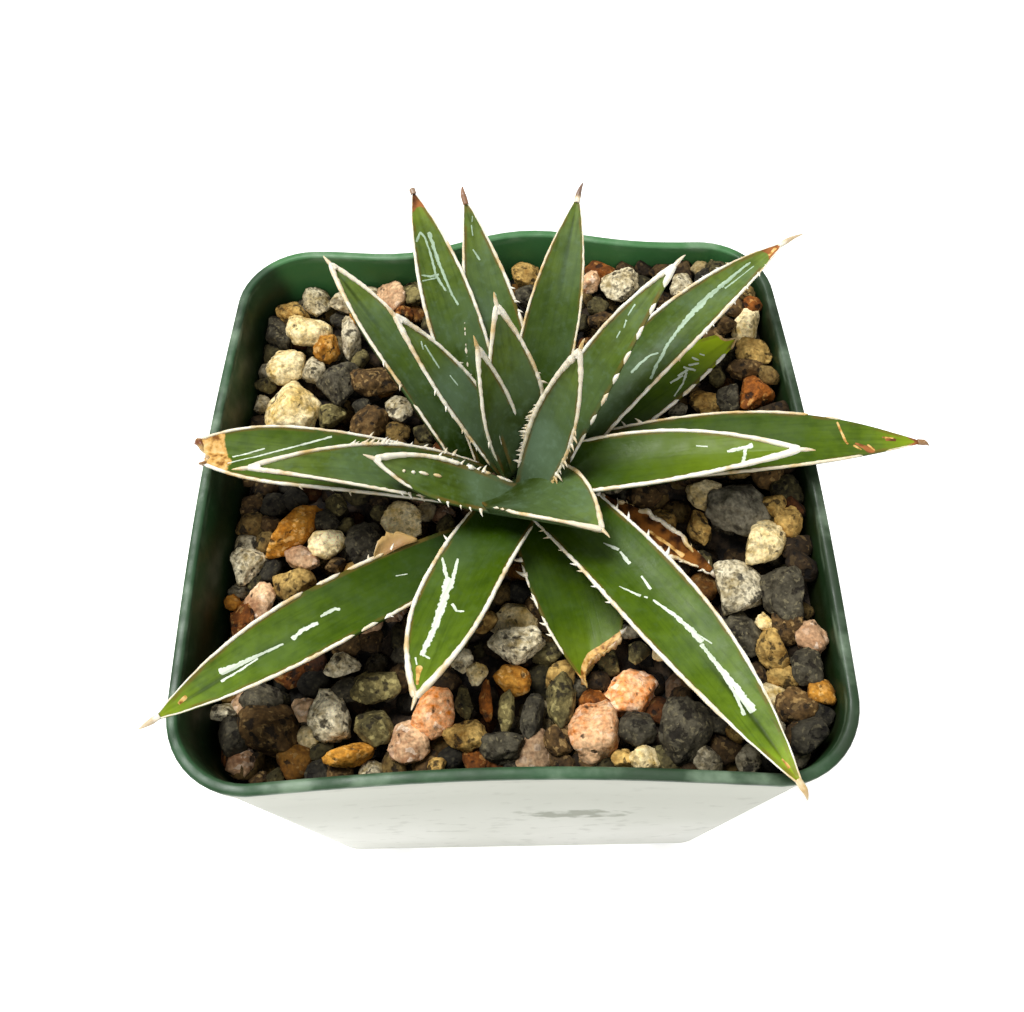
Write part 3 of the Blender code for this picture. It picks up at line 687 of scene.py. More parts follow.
def join(parts: list, name: str) -> Object:
    """Joins mesh objects into one, with the numbers that they carry.

    Args:
        parts: the objects, which are used up and share one material.
        name: the result's name.

    Returns:
        The joined object.
    """
    bm = bmesh.new()
    mesh = bpy.data.meshes.new(name)
    layers = {a.name for p in parts for a in p.data.attributes if a.domain == "POINT" and a.data_type == "FLOAT"}
    numbers = {layer: [] for layer in sorted(layers)}
    for part in parts:
        bm.from_mesh(part.data)
        for layer, values in numbers.items():
            kept = part.data.attributes.get(layer)
            values.extend([item.value for item in kept.data] if kept else [0.0] * len(part.data.vertices))
    bm.to_mesh(mesh)
    bm.free()
    for layer, values in numbers.items():
        if layer in mesh.attributes:
            mesh.attributes.remove(mesh.attributes[layer])
        set_numbers(mesh, layer, values)
    mesh.polygons.foreach_set("material_index", [0] * len(mesh.polygons))
    for made in [material for material in parts[0].data.materials if material][:1]:
        mesh.materials.append(made)
    for part in parts:
        bpy.data.objects.remove(part, do_unlink=True)
    return new_object(name, mesh)


def place(obj: Object, slot: str, *nodes: str) -> Object:
    """Puts a piece on the body, in place of CAD nodes.

    Args:
        obj: the piece.
        slot: not used.
        *nodes: the nodes that it stands for.

    Returns:
        The piece.
    """
    if nodes:
        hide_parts(*nodes)
    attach(obj, BODY)
    LOG.info("%s: %d faces", obj.name, len(obj.data.polygons))
    return obj


class Tree:
    """A Geometry Nodes tree with named inputs, run on an object as a modifier."""

    def __init__(self, name: str) -> None:
        """Starts an empty tree with one geometry input and output.

        Args:
            name: the tree's name.
        """
        self.tree = bpy.data.node_groups.new(name, "GeometryNodeTree")
        self.tree.is_modifier = True
        self.tree.interface.new_socket("Geometry", in_out="INPUT", socket_type="NodeSocketGeometry")
        self.tree.interface.new_socket("Geometry", in_out="OUTPUT", socket_type="NodeSocketGeometry")
        self.sockets: dict = {}

    def input(self, name: str, kind: str, value: Value | None = None) -> None:
        """Adds a named input of a socket type such as Float or Material.

        Args:
            name: the input's name.
            kind: its socket type.
            value: its default value.
        """
        socket = self.tree.interface.new_socket(name, in_out="INPUT", socket_type="NodeSocket" + kind)
        if value is not None:
            socket.default_value = value
        self.sockets[name] = socket.identifier

    def given(self, name: str) -> NodeSocket:
        """The socket that brings a named input into the tree."""
        return add_node(self.tree, "NodeGroupInput", output=name)

    def run(self, obj: Object, name: str, **values: Value) -> Object:
        """Runs the tree on an object.

        Args:
            obj: the object, which is used up.
            name: the result's name.
            **values: inputs by name, with underscores for spaces.

        Returns:
            The result as a plain mesh object.
        """
        modifier = obj.modifiers.new(name, "NODES")
        modifier.node_group = self.tree
        for key, value in values.items():
            modifier[self.sockets[key.replace("_", " ")]] = value
        obj.update_tag()
        return to_plain(obj, name)


# ---------------------------------------------------------------- pot
def side_bow(side: int, along: float | np.ndarray) -> float | np.ndarray:
    """How far a side of the rim bows out, at -1 to 1 along it, for sides +X, +Y, -X and -Y.

    Args:
        side: which side.
        along: the place along it, or many places.

    Returns:
        The bow at each place, in millimetres.
    """
    phase = np.pi * (np.clip(along, -1, 1) + 1) / 2
    swell = np.sin(phase)
    if side == 1:
        second, third = WAVE_BACK
        return swell * (BOW_BACK * swell + second * np.sin(2 * phase) - third * np.sin(3 * phase))
    return swell * (BOW_FRONT if side == 3 else BOW_SIDE)


def wall_half(z: float | np.ndarray) -> float | np.ndarray:
    """Half the pot's width at a height, without the rim's bow."""
    return BASE_HALF + (RIM_HALF - COLLAR_PROUD - BASE_HALF) * (z / POT_HEIGHT)


def wall_corner(z: float) -> float:
    """The radius of the pot's corners at a height."""
    return BASE_CORNER + (RIM_CORNER - BASE_CORNER) * (z / POT_HEIGHT)


def pot_ring(z: float, inset: float, corner_steps: int = 12, side_steps: int = 24) -> np.ndarray:
    """The pot's outer outline at a height, moved in by inset.

    Args:
        z: the height.
        inset: how far in from the outer wall.
        corner_steps: points round a corner.
        side_steps: points along a side.

    Returns:
        The outline's points, in order.
    """
    share = z / POT_HEIGHT
    half = wall_half(z) - inset
    corner = max(wall_corner(z) - inset, 1.0)
    straight = half - corner
    points = []
    for side in range(4):
        turn = Matrix.Rotation(math.radians(90 * side), 2)
        for i in range(side_steps):
            along = -straight + 2 * straight * i / side_steps
            points.append(turn @ Vector((half + share**2 * side_bow(side, along / straight), along)))
        for i in range(corner_steps):
            angle = math.radians(90 * i / corner_steps)
            arc = Vector((straight + corner * math.cos(angle), straight + corner * math.sin(angle)))
            points.append(turn @ arc)
    return np.array([(p.x, p.y, z) for p in points])


@dataclass
class Pot:
    """The square nursery pot: a thin tapered shell with a rounded lip, four feet and a middle pad."""

    lip_drop: float = 0.9  # how far the green lip runs down the outside
    lip_round: float = 0.35

    def rings(self) -> tuple:
        """The shell's sections from the floor up the outside, over the lip and down the inside.

        Returns:
            The sections, and how many of them from the start are the pale outside.
        """
        # Each section is a height and how far in from the outer wall it is.
        rim, collar = POT_HEIGHT, POT_HEIGHT - COLLAR_HEIGHT
        outside = (
            (FLOOR_UNDER, 1.4), (FLOOR_UNDER + 0.15, 0.7), (FLOOR_UNDER + 0.6, 0.15), (FLOOR_UNDER + 1.3, 0.0),
            (12.0, 0.0), (26.0, 0.0), (WAIST, 0.0), (54.0, 0.0), (68.0, 0.0), (collar - 0.1, 0.0),
            (collar + 0.3, -COLLAR_PROUD * 0.8), (collar + 0.6, -COLLAR_PROUD), (rim - self.lip_drop, -COLLAR_PROUD),
        )
        inside = (
            (rim - self.lip_round, -COLLAR_PROUD), (rim - 0.1, -COLLAR_PROUD + 0.12), (rim, -COLLAR_PROUD + 0.4),
            (rim, WALL - 0.4), (rim - 0.1, WALL - 0.12), (rim - self.lip_round, WALL), (68.0, WALL), (54.0, WALL),
            (WAIST, WALL), (FLOOR_TOP, WALL),
        )
        return [pot_ring(z, inset) for z, inset in outside + inside], len(outside)

    def build(self) -> Object:
        """Makes the shell with its feet and drain holes, and dresses it.

        Returns:
            The pot.
        """
        rings, pale = self.rings()
        count = len(rings[0])
        finishes = [MouldedPolypropylene().make(), ChalkedPolypropylene().make()]
        shell = mesh_object("pot_shell", np.concatenate(rings), grid_faces(len(rings), count), finishes)
        for polygon in shell.data.polygons:
            if max(polygon.vertices) < pale * count:
                polygon.material_index = 1
        self.add_feet(shell)
        self.cut_drains(shell)
        return place(to_plain(shell, "pot_shell"), "pot", "pot")

    def add_feet(self, shell: Object) -> None:
        """Adds the pad and the four feet under the floor.

        Args:
            shell: the pot.
        """
        out = BASE_HALF - FOOT_INSET
        spots = [(0.0, 0.0, PAD_RADIUS)]
        spots += [(x * out, y * out, FOOT_RADIUS) for x in (-1, 1) for y in (-1, 1)]
        feet = [self.disc(x, y, radius, 0.0, FLOOR_UNDER + 0.5) for x, y, radius in spots]
        self.combine(shell, feet, "UNION")

    def cut_drains(self, shell: Object) -> None:
        """Cuts the four drain holes through the floor.

        Args:
            shell: the pot.
        """
        spots = [(DRAIN_OUT * x, DRAIN_OUT * y) for x, y in ((1, 0), (0, 1), (-1, 0), (0, -1))]
        holes = [self.disc(x, y, DRAIN_RADIUS, -1.0, FLOOR_TOP + 1.0) for x, y in spots]
        self.combine(shell, holes, "DIFFERENCE")

    def disc(self, x: float, y: float, radius: float, low: float, high: float) -> Object:
        """An upright cylinder with a small bevel, to join or cut.

        Args:
            x: its place along X.
            y: its place along Y.
            radius: its radius.
            low: its underside's height.
            high: its top's height.

        Returns:
            The cylinder.
        """
        angles = np.linspace(0, 2 * math.pi, 33)[:-1]
        rings = []
        for z, inset in ((low, 0.25), (low + 0.25, 0.0), (high, 0.0)):
            ring = [(x + (radius - inset) * math.cos(a), y + (radius - inset) * math.sin(a), z) for a in angles]
            rings.extend(ring)
        return mesh_object("disc", rings, grid_faces(3, 32), [])

    def combine(self, shell: Object, tools: list, operation: str) -> None:
        """Joins the tools to the shell, or cuts them from it.

        Args:
            shell: the pot.
            tools: the cylinders, which are used up.
            operation: UNION or DIFFERENCE.
        """
        tool = join(tools, "tool")
        modifier = shell.modifiers.new(operation.lower(), "BOOLEAN")
        modifier.operation = operation
        modifier.object = tool
        modifier.solver = "EXACT"
        bpy.context.view_layer.update()
        graph = bpy.context.evaluated_depsgraph_get()
        mesh = bpy.data.meshes.new_from_object(shell.evaluated_get(graph))
        shell.modifiers.remove(modifier)
        shell.data = mesh
        bpy.data.objects.remove(tool, do_unlink=True)


# ---------------------------------------------------------------- leaves
class Tip(Enum):
    """How a leaf ends."""

    IVORY = "a broad white horn cap"
    GREY = "a slim grey spine"
    BROWN = "a slim brown spine"
    PALE = "a slim tan spine"
    DRY = "a dried brown end with a spine"
    CUT = "cut short, with a dry callus"


class Sign(Enum):
    """What a mark on a blade is. The value names the number that the finish reads."""

    RUBBED = "streak"
    SPOT = "cream"
    SCAR = "dry"


@dataclass(frozen=True)
class Mark:
    """A mark on a blade: its kind, half widths at its two ends, and its places as (along, across)."""

    kind: Sign
    widths: tuple
    places: tuple


def rub_and_highlight(first: float, last: float, *places: tuple) -> Mark:
    """A white stroke: partly the wax rubbed off, partly a painted highlight."""
    return Mark(Sign.RUBBED, (first, last), places)


def spot(first: float, last: float, *places: tuple) -> Mark:
    """A tan spot."""
    return Mark(Sign.SPOT, (first, last), places)


def scar(first: float, last: float, *places: tuple) -> Mark:
    """A brown healed scar."""
    return Mark(Sign.SCAR, (first, last), places)


@dataclass(frozen=True)
class Leaf:
    """One leaf: its shape, as the solids have it, and its own marks."""

    number: int
    foot: tuple
    heading: float
    turn: float
    rise: tuple
    length: float
    width: float
    roll: tuple = (0.0, 0.0)
    base: float = 0.8
    widest: float = 0.4
    taper: float = 2.0
    kept: float = 1.0
    tip: Tip = Tip.GREY
    horn: tuple = (0.5, 0.5)  # thickness of the left and of the right margin
    left: tuple = ((0.0, 1.0),)  # the stretches of each margin that have horn
    right: tuple = ((0.0, 1.0),)
    keel: tuple = ()  # stretches of horn along the keel
    dashes: tuple = ()  # horn marks on the face: start, end and place across
    teeth: tuple = (0.25, 0.6)  # the stretch with teeth
    tooth_pitch: float = 5.0
    tooth_size: float = 1.0
    marks: tuple = ()
    bloom: tuple = ()  # patches of bloom: along, across, length, strength
    dry: float = 1.2  # where the dried end starts
    groove: float = 0.0  # how dark the painted shade in the groove down its middle is
    ends: tuple = ()  # a cut leaf's end: pairs of a place across and how far along it reaches
    callus: float = 0.6  # how far the dry tan tissue of a cut runs back
    sun: tuple = (1.2, 0.0)  # where the blade is painted yellower, and how much: partly its own yellowing, partly painted light
    deep: tuple = ()  # painted shade: how much darker the skin is drawn, as pairs of a share of the length and a strength
    rows: tuple = ()  # closer rows of teeth: side, start, end, pitch and size
    scraps: tuple = ()  # torn strips of dry margin: side, start, end and width
    tan: float = 0.1  # how tan its horn is
    spine: float = 1.3  # how far the spine stands out

    def half_width(self, t: float) -> float:
        """Half the width from margin to margin at a share of the length.

        Args:
            t: the share of the length.

        Returns:
            The half width.
        """
        if t < self.widest:
            share = self.base + (1 - self.base) * math.sin(math.pi / 2 * max(t, 0.0) / self.widest)
        else:
            share = 1 - min((t - self.widest) / (1 - self.widest), 1.0) ** self.taper
        return self.width / 2 * share

    def narrowed(self, wanted: float) -> float:
        """The share of the length, past the widest place, where the leaf has a half width.

        Args:
            wanted: the half width.

        Returns:
            The share of the length.
        """
        low, high = self.widest, 1.0
        for _ in range(30):
            middle = (low + high) / 2
            low, high = (middle, high) if self.half_width(middle) > wanted else (low, middle)
        return low

    def reach(self, across: float) -> float:
        """How far along the blade reaches at a place across, from -1 to 1."""
        ends = self.ends or ((0.0, self.kept),)
        return float(np.interp(across, *zip(*ends)))

    def path(self) -> list:
        """Point, along, right and up vectors at even steps of the length.

        Returns:
            A list of the four, for each step.
        """
        point, result = Vector(self.foot), []
        for i in range(PATH_STEPS + 1):
            t = i / PATH_STEPS
            heading = math.radians(self.heading + self.turn * t)
            rise = math.radians(self.rise[0] + (self.rise[1] - self.rise[0]) * t)
            roll = math.radians(self.roll[0] + (self.roll[1] - self.roll[0]) * t)
            ahead = Vector((math.cos(heading), math.sin(heading), 0))
            along = ahead * math.cos(rise) + Vector((0, 0, math.sin(rise)))
            level = Vector((ahead.y, -ahead.x, 0))
            right = level * math.cos(roll) + level.cross(along) * math.sin(roll)
            result.append((point.copy(), along, right, right.cross(along)))
            point += along * self.length / PATH_STEPS
        return result

    def under(self, t: float, v: float) -> float:
        """The height of the underside at a place across, from the middle line's own level.

        Args:
            t: the share of the length.
            v: the place across, in millimetres.

        Returns:
            The height.
        """
        full = max(self.half_width(t), 0.05)
        foot = BASE_THICK * max(0.0, 1 - max(t, 0.0) * self.length / BASE_LENGTH) ** 2
        keel = (CHANNEL + BLADE_THICK) * full + foot
        share = min(abs(v) / full, 1.0)
        soft = math.sqrt(share * share + 0.012) - math.sqrt(0.012)
        return -self.edge(t) - keel * (1 - soft)

    def edge(self, t: float) -> float:
        """The blade's thickness at its margins, which thins out at the tip."""
        return BLADE_EDGE * min(1.0, 0.35 + self.half_width(t) / 2.0)

    def over(self, t: float, v: float) -> float:
        """The height of the upper face at a place across: a channel, and a groove near the tip.

        Args:
            t: the share of the length.
            v: the place across, in millimetres.

        Returns:
            The height.
        """
        full = max(self.half_width(t), 0.05)
        share = min(abs(v) / full, 1.0)
        groove = 0.09 * full * smooth(t, 0.6, 0.92) * math.exp(-((share / 0.16) ** 2))
        return -CHANNEL * full * (1 - share * share) - groove


def smooth(value: float, low: float, high: float) -> float:
    """A smooth step from 0 at low to 1 at high."""
    t = min(max((value - low) / (high - low), 0.0), 1.0)
    return t * t * (3 - 2 * t)


def frame_at(path: list, t: float) -> tuple:
    """The frame at a share of the length, between two steps of the path.

    Args:
        path: the leaf's frames.
        t: a share of its length.

    Returns:
        Point, along, right and up vectors.
    """
    spot = min(max(t, 0.0), 1.0) * (len(path) - 1)
    i = min(int(spot), len(path) - 2)
    return tuple(a.lerp(b, spot - i) for a, b in zip(path[i], path[i + 1]))


# Youngest first. The shapes are those of the solids, and the marks are each leaf's own.
LEAVES = (
    Leaf(1, (2.5, 2.5, 85.5), 102, 9, (62, 54), 22.5, 8.0, (-2, -4), widest=0.36, taper=1.5, tip=Tip.IVORY,
         horn=(0.5, 0.56), teeth=(0.1, 0.5), tooth_pitch=1.8, tooth_size=0.9, tan=0.2),
    Leaf(2, (0.5, 1.5, 84.5), 118, 5, (68, 63), 19.5, 6.2, (-18, -29), widest=0.33, taper=1.6, tip=Tip.IVORY,
         horn=(0.5, 0.6), teeth=(0.2, 0.3), tan=0.2),
    Leaf(3, (3.5, -2.0, 82.5), 52, 1, (60, 63), 23.5, 7.2, (3, 8), widest=0.37, taper=1.8, tip=Tip.IVORY,
         horn=(0.66, 0.52), teeth=(0.04, 0.5), tooth_pitch=1.0, tooth_size=0.95, tan=0.3,
         bloom=((0.2, 0.0, 8.0, 0.6), (0.5, 0.0, 7.0, 0.3)), rows=((-1, 0.1, 0.5, 0.75, 0.85),)),
    Leaf(4, (1.0, -2.0, 83.0), -39, -10, (40, 2), 18.0, 12.5, (8, 24), base=1.0, widest=0.35, taper=1.65,
         tip=Tip.IVORY, horn=(0.52, 0.5), keel=((0.72, 1.0),), right=((0.12, 0.2), (0.22, 0.27), (0.29, 1.0)),
         teeth=(0.0, 0.0), bloom=((0.45, 0.0, 8.0, 0.25),), tan=0.35),
    Leaf(5, (1.0, -4.0, 81.0), 175, -1, (24, 28), 22.0, 6.8, (1, 3), widest=0.46, taper=2.1, tip=Tip.IVORY,
         horn=(0.42, 0.66), left=((0.7, 1.0),), right=((0.0, 0.14), (0.18, 0.25), (0.29, 0.36), (0.4, 1.0)),
         dashes=((0.51, 0.57, 0.2), (0.6, 0.67, 0.12), (0.69, 0.72, 0.02), (0.76, 0.78, -0.1)),
         teeth=(0.2, 0.6), tooth_pitch=1.5, tooth_size=0.9, bloom=((0.14, 0.2, 6.0, 0.4),), tan=0.15),
    Leaf(6, (-0.5, 3.0, 81.0), 134, 12, (50, 39), 28.0, 6.4, (-4, -6), widest=0.39, taper=1.9, tip=Tip.IVORY,
         horn=(0.56, 0.5), teeth=(0.1, 0.6), tooth_pitch=2.2, tooth_size=0.8, tan=0.15,
         bloom=((0.15, -0.4, 6.0, 0.3), (0.38, 0.0, 9.0, 0.5)),
         marks=(rub_and_highlight(0.1, 0.1, (0.78, 0.3), (0.74, 0.0)), rub_and_highlight(0.12, 0.12, (0.75, 0.3), (0.61, 0.05)),
                rub_and_highlight(0.08, 0.1, (0.54, 0.25), (0.47, 0.25)))),
    Leaf(7, (5.5, 1.0, 81.0), 55, -14, (49, 21), 36.5, 7.2, (3, 5), base=0.85, widest=0.35, taper=1.85,
         tip=Tip.IVORY, horn=(0.48, 0.56), keel=((0.55, 1.0),), bloom=((0.3, 0.6, 9.0, 0.2),),
         right=((0.08, 0.22), (0.26, 0.31), (0.35, 0.41), (0.45, 0.5), (0.54, 0.6), (0.65, 0.71), (0.76, 0.81),
                (0.88, 1.0)),
         marks=(rub_and_highlight(0.12, 0.1, (0.76, -0.45), (0.71, -0.35)), rub_and_highlight(0.12, 0.1, (0.69, -0.25), (0.66, -0.1)),
                rub_and_highlight(0.1, 0.08, (0.64, -0.15), (0.61, -0.1))),
         teeth=(0.3, 0.5), tooth_size=0.4, tan=0.1),
    Leaf(8, (3.0, 0.0, 80.5), -3, -4, (27, 7), 40.0, 9.2, (2, 3), widest=0.36, tip=Tip.IVORY, horn=(0.52, 0.58),
         marks=(rub_and_highlight(0.2, 0.3, (0.74, -0.1), (0.82, -0.4)), rub_and_highlight(0.22, 0.25, (0.8, -0.2), (0.79, 0.75)),
                rub_and_highlight(0.08, 0.1, (0.63, -0.4), (0.67, -0.35))), teeth=(0.0, 0.0), sun=(0.3, 0.2), tan=0.1,
         deep=((0.1, 0.2), (0.35, 0.35), (0.6, 0.45), (0.85, 0.35), (1.0, 0.1))),
    Leaf(9, (-3.5, -0.5, 79.5), 179, 12, (30, 7), 35.5, 8.8, (-4, -10), widest=0.35, taper=1.55, tip=Tip.IVORY,
         horn=(0.46, 0.5), left=((0.25, 0.31), (0.34, 1.0)), teeth=(0.12, 0.4), tooth_pitch=1.6,
         tooth_size=0.9, tan=0.2, rows=((1, 0.4, 0.58, 0.6, 1.1),)),
    Leaf(10, (-0.5, -5.0, 78.5), 240, 17, (21, 4), 32.5, 10.8, (-11, -19), base=0.9, widest=0.47, taper=2.25,
         tip=Tip.IVORY, horn=(0.62, 0.6), teeth=(0.2, 0.3), sun=(0.72, 0.1), bloom=((0.27, 0.65, 4.0, 0.12),),
         deep=((0.1, 0.4), (0.35, 0.05), (0.6, 0.25), (1.0, 0.3)),
         marks=(rub_and_highlight(0.16, 0.4, (0.34, 0.85), (0.41, 0.55), (0.46, 0.3)),
                rub_and_highlight(0.16, 0.35, (0.31, 0.5), (0.41, 0.35), (0.46, 0.3)),
                rub_and_highlight(0.62, 0.36, (0.43, 0.42), (0.54, 0.3), (0.68, 0.25), (0.8, 0.38)),
                rub_and_highlight(0.26, 0.12, (0.54, 0.05), (0.57, -0.15), (0.57, -0.35)), rub_and_highlight(0.22, 0.1, (0.8, 0.35), (0.81, 0.05)),
                rub_and_highlight(0.1, 0.1, (0.82, 0.6), (0.85, 0.5)), spot(0.45, 0.2, (0.86, 0.38), (0.93, 0.28)))),
    Leaf(11, (0.5, 3.0, 78.0), 94, 12, (40, 23), 42.5, 10.0, widest=0.36, taper=1.6, tip=Tip.BROWN, spine=1.8,
         horn=(0.5, 0.54), right=((0.0, 0.55), (0.58, 1.0)), teeth=(0.3, 0.7), tooth_pitch=2.5, tooth_size=0.8,
         tan=0.15,
         bloom=((0.65, -0.45, 8.0, 0.25),), groove=0.3,
         marks=(rub_and_highlight(0.08, 0.08, (0.92, 0.5), (0.9, 0.2)), rub_and_highlight(0.1, 0.08, (0.89, 0.0), (0.85, -0.1)),
                rub_and_highlight(0.1, 0.2, (0.8, -0.3), (0.76, 0.0)), rub_and_highlight(0.1, 0.08, (0.63, 0.3), (0.62, 0.35)))),
    Leaf(12, (2.0, 3.0, 79.0), 72, 4, (43, 21), 42.0, 8.4, (1, 1), widest=0.43, taper=2.1, tip=Tip.GREY, spine=2.4,
         horn=(0.4, 0.36), teeth=(0.25, 0.4), groove=0.8, tan=0.35,
         deep=((0.0, 0.6), (0.35, 0.5), (0.6, 0.35), (0.85, 0.0))),
    Leaf(13, (5.0, -0.5, 78.0), -53, -8, (22, -6), 55.0, 10.4, (-3, -1), base=0.9, taper=2.3, tip=Tip.PALE,
         horn=(0.52, 0.58), teeth=(0.1, 0.46), tooth_pitch=2.8, tooth_size=1.3, sun=(0.86, 0.45), groove=1.0,
         deep=((0.2, 0.0), (0.6, 0.1), (0.85, 0.15), (0.9, 0.0)),
         marks=(rub_and_highlight(0.1, 0.26, (0.26, -0.05), (0.3, -0.2)), rub_and_highlight(0.14, 0.32, (0.31, -0.2), (0.35, -0.15)),
                rub_and_highlight(0.14, 0.2, (0.4, -0.15), (0.44, -0.1)), rub_and_highlight(0.08, 0.2, (0.39, 0.5), (0.44, 0.25)),
                rub_and_highlight(0.12, 0.12, (0.45, 0.17), (0.455, 0.13)),
                rub_and_highlight(0.15, 0.42, (0.47, 0.05), (0.53, -0.1), (0.59, -0.2), (0.62, -0.2)),
                rub_and_highlight(0.12, 0.08, (0.59, -0.2), (0.64, -0.4)),
                rub_and_highlight(0.26, 0.22, (0.63, -0.15), (0.68, -0.15), (0.76, -0.05), (0.81, 0.2)),
                rub_and_highlight(0.2, 0.5, (0.67, -0.15), (0.74, -0.2), (0.81, -0.2)), spot(0.14, 0.28, (0.93, 0.05), (0.95, 0.0)))),
    Leaf(14, (-1.5, 3.5, 79.0), 110, -2, (43, 19), 44.0, 8.0, widest=0.45, taper=2.15, tip=Tip.DRY, dry=0.93, spine=0.3,
         horn=(0.52, 0.5), teeth=(0.25, 0.35), sun=(0.8, 0.3), groove=0.5,
         marks=(rub_and_highlight(0.14, 0.2, (0.81, -0.75), (0.84, -0.4), (0.82, -0.15), (0.76, -0.1), (0.68, -0.15), (0.62, 0.05)),
                rub_and_highlight(0.3, 0.14, (0.83, 0.2), (0.8, 0.2), (0.73, 0.15), (0.67, 0.2), (0.6, 0.25), (0.56, 0.35)),
                rub_and_highlight(0.1, 0.2, (0.69, -0.8), (0.68, -0.4), (0.68, -0.05)), rub_and_highlight(0.1, 0.12, (0.67, -0.8), (0.67, -0.15)))),
    Leaf(15, (-5.0, 3.5, 77.5), 126, 7, (41, 15), 39.0, 7.6, (-22, -18), base=0.75, widest=0.5, taper=2.2,
         tip=Tip.IVORY, horn=(0.5, 0.52), left=((0.1, 0.34), (0.42, 1.0)), teeth=(0.3, 0.6), tooth_size=0.8,
         groove=0.8, tan=0.25),
    Leaf(16, (5.0, 1.5, 77.5), 45, -10, (31, 0), 54.5, 8.4, (0, -2), widest=0.44, taper=2.2, tip=Tip.PALE, spine=3.8,
         dry=0.93, horn=(0.52, 0.56), teeth=(0.5, 0.9), tooth_pitch=2.2, tooth_size=0.6, sun=(0.85, 0.25), groove=0.2,
         marks=(rub_and_highlight(0.14, 0.4, (0.87, -0.3), (0.77, -0.17), (0.69, -0.12), (0.66, -0.07)),
                rub_and_highlight(0.48, 0.26, (0.68, -0.08), (0.63, -0.03), (0.57, 0.1), (0.55, 0.15)),
                rub_and_highlight(0.25, 0.25, (0.55, 0.15), (0.51, 0.25), (0.48, 0.4), (0.45, 0.5), (0.41, 0.75)),
                rub_and_highlight(0.08, 0.15, (0.87, 0.15), (0.8, 0.12), (0.76, 0.08)),
                rub_and_highlight(0.14, 0.25, (0.48, 0.2), (0.46, 0.05), (0.43, 0.0), (0.39, 0.0)),
                spot(0.2, 0.3, (0.93, 0.3), (0.96, 0.0)))),
    Leaf(17, (4.5, 2.0, 78.0), 3, -8, (20, -4), 56.5, 10.4, (1, -1), widest=0.45, taper=2.2, tip=Tip.DRY,
         spine=1.0, dry=0.975, horn=(0.44, 0.46), left=((0.2, 0.72), (0.76, 0.8)), right=((0.0, 0.84), (0.9, 0.97)),
         teeth=(0.1, 0.35), tooth_pitch=3.0, sun=(0.84, 0.5), tan=0.4,
         deep=((0.2, 0.2), (0.45, 0.4), (0.7, 0.5), (0.85, 0.4), (1.0, 0.15)),
         marks=(spot(0.14, 0.18, (0.79, -0.8), (0.81, 0.15)), scar(0.2, 0.6, (0.83, 0.15), (0.85, 0.45), (0.865, 0.75)),
                spot(0.2, 0.14, (0.825, 0.3), (0.84, 0.6)), spot(0.18, 0.2, (0.86, 0.3), (0.87, 0.75)),
                scar(0.3, 0.2, (0.91, -0.25), (0.93, -0.15)), spot(0.14, 0.14, (0.9, -0.3), (0.925, -0.3)))),
    Leaf(18, (-6.0, 0.5, 78.0), 175, 2, (20, -2), 43.5, 9.8, (-2, 4), widest=0.55, taper=2.6, kept=0.93,
         tip=Tip.CUT, horn=(0.52, 0.44), teeth=(0.3, 0.6), tooth_size=0.8, dry=1.5, callus=3.4, sun=(0.2, 0.0),
         deep=((0.4, 0.2), (0.8, 0.45)),
         ends=((-1.0, 0.9), (-0.4, 0.89), (0.2, 0.92), (1.0, 0.93)),
         marks=(rub_and_highlight(0.1, 0.14, (0.82, -0.5), (0.76, -0.15), (0.62, 0.35), (0.49, 0.8)),
                rub_and_highlight(0.14, 0.1, (0.81, -0.15), (0.71, 0.25)))),
    Leaf(19, (-2.5, -7.5, 76.0), 210, 9, (17, 5), 52.0, 9.6, (-5, -2), widest=0.5, taper=2.3, tip=Tip.PALE, spine=1.8,
         horn=(0.5, 0.56), right=((0.3, 0.41), (0.43, 0.5), (0.54, 1.0)),
         left=((0.28, 0.4), (0.42, 0.47), (0.49, 1.0)), teeth=(0.2, 0.45), tooth_size=0.8, groove=0.9,
         sun=(0.85, 0.3), deep=((0.2, 0.55), (0.45, 0.35), (0.7, 0.22), (1.0, 0.1)), scraps=((1, 0.2, 0.33, 2.4),),
         marks=(rub_and_highlight(0.3, 0.34, (0.62, -0.05), (0.59, 0.04), (0.55, 0.0)),
                rub_and_highlight(0.24, 0.2, (0.53, 0.13), (0.49, 0.13), (0.48, 0.05)),
                rub_and_highlight(0.2, 0.14, (0.69, 0.0), (0.65, -0.05)),
                rub_and_highlight(0.4, 0.18, (0.81, 0.25), (0.78, 0.15), (0.73, 0.05), (0.69, 0.0)),
                rub_and_highlight(0.2, 0.14, (0.82, -0.1), (0.77, -0.1), (0.72, -0.05)), rub_and_highlight(0.12, 0.06, (0.3, 0.2), (0.27, 0.1)),
                spot(0.2, 0.26, (0.93, 0.05), (0.91, 0.2))),
         tan=0.15),
    Leaf(20, (3.5, 3.0, 76.0), 34, -3, (14, 2), 43.0, 10.0, (1, 2), kept=0.9, tip=Tip.CUT, horn=(0.34, 0.56),
         left=((0.2, 0.5),), right=((0.3, 0.42), (0.45, 0.59), (0.61, 0.68), (0.7, 0.77), (0.79, 0.85)),
         sun=(0.66, 0.9), dry=1.5, callus=0.35, teeth=(0.25, 0.4), deep=((0.3, 0.6), (0.5, 0.3), (0.75, 0.0)),
         ends=((-1.0, 0.88), (-0.7, 0.89), (-0.3, 0.89), (0.2, 0.91), (0.6, 0.93), (1.0, 0.89)),
         marks=(rub_and_highlight(0.18, 0.1, (0.79, 0.0), (0.78, -0.2)), rub_and_highlight(0.18, 0.2, (0.76, 0.05), (0.75, -0.2)),
                rub_and_highlight(0.2, 0.22, (0.75, 0.2), (0.72, 0.0)), rub_and_highlight(0.22, 0.2, (0.72, 0.4), (0.7, -0.05)),
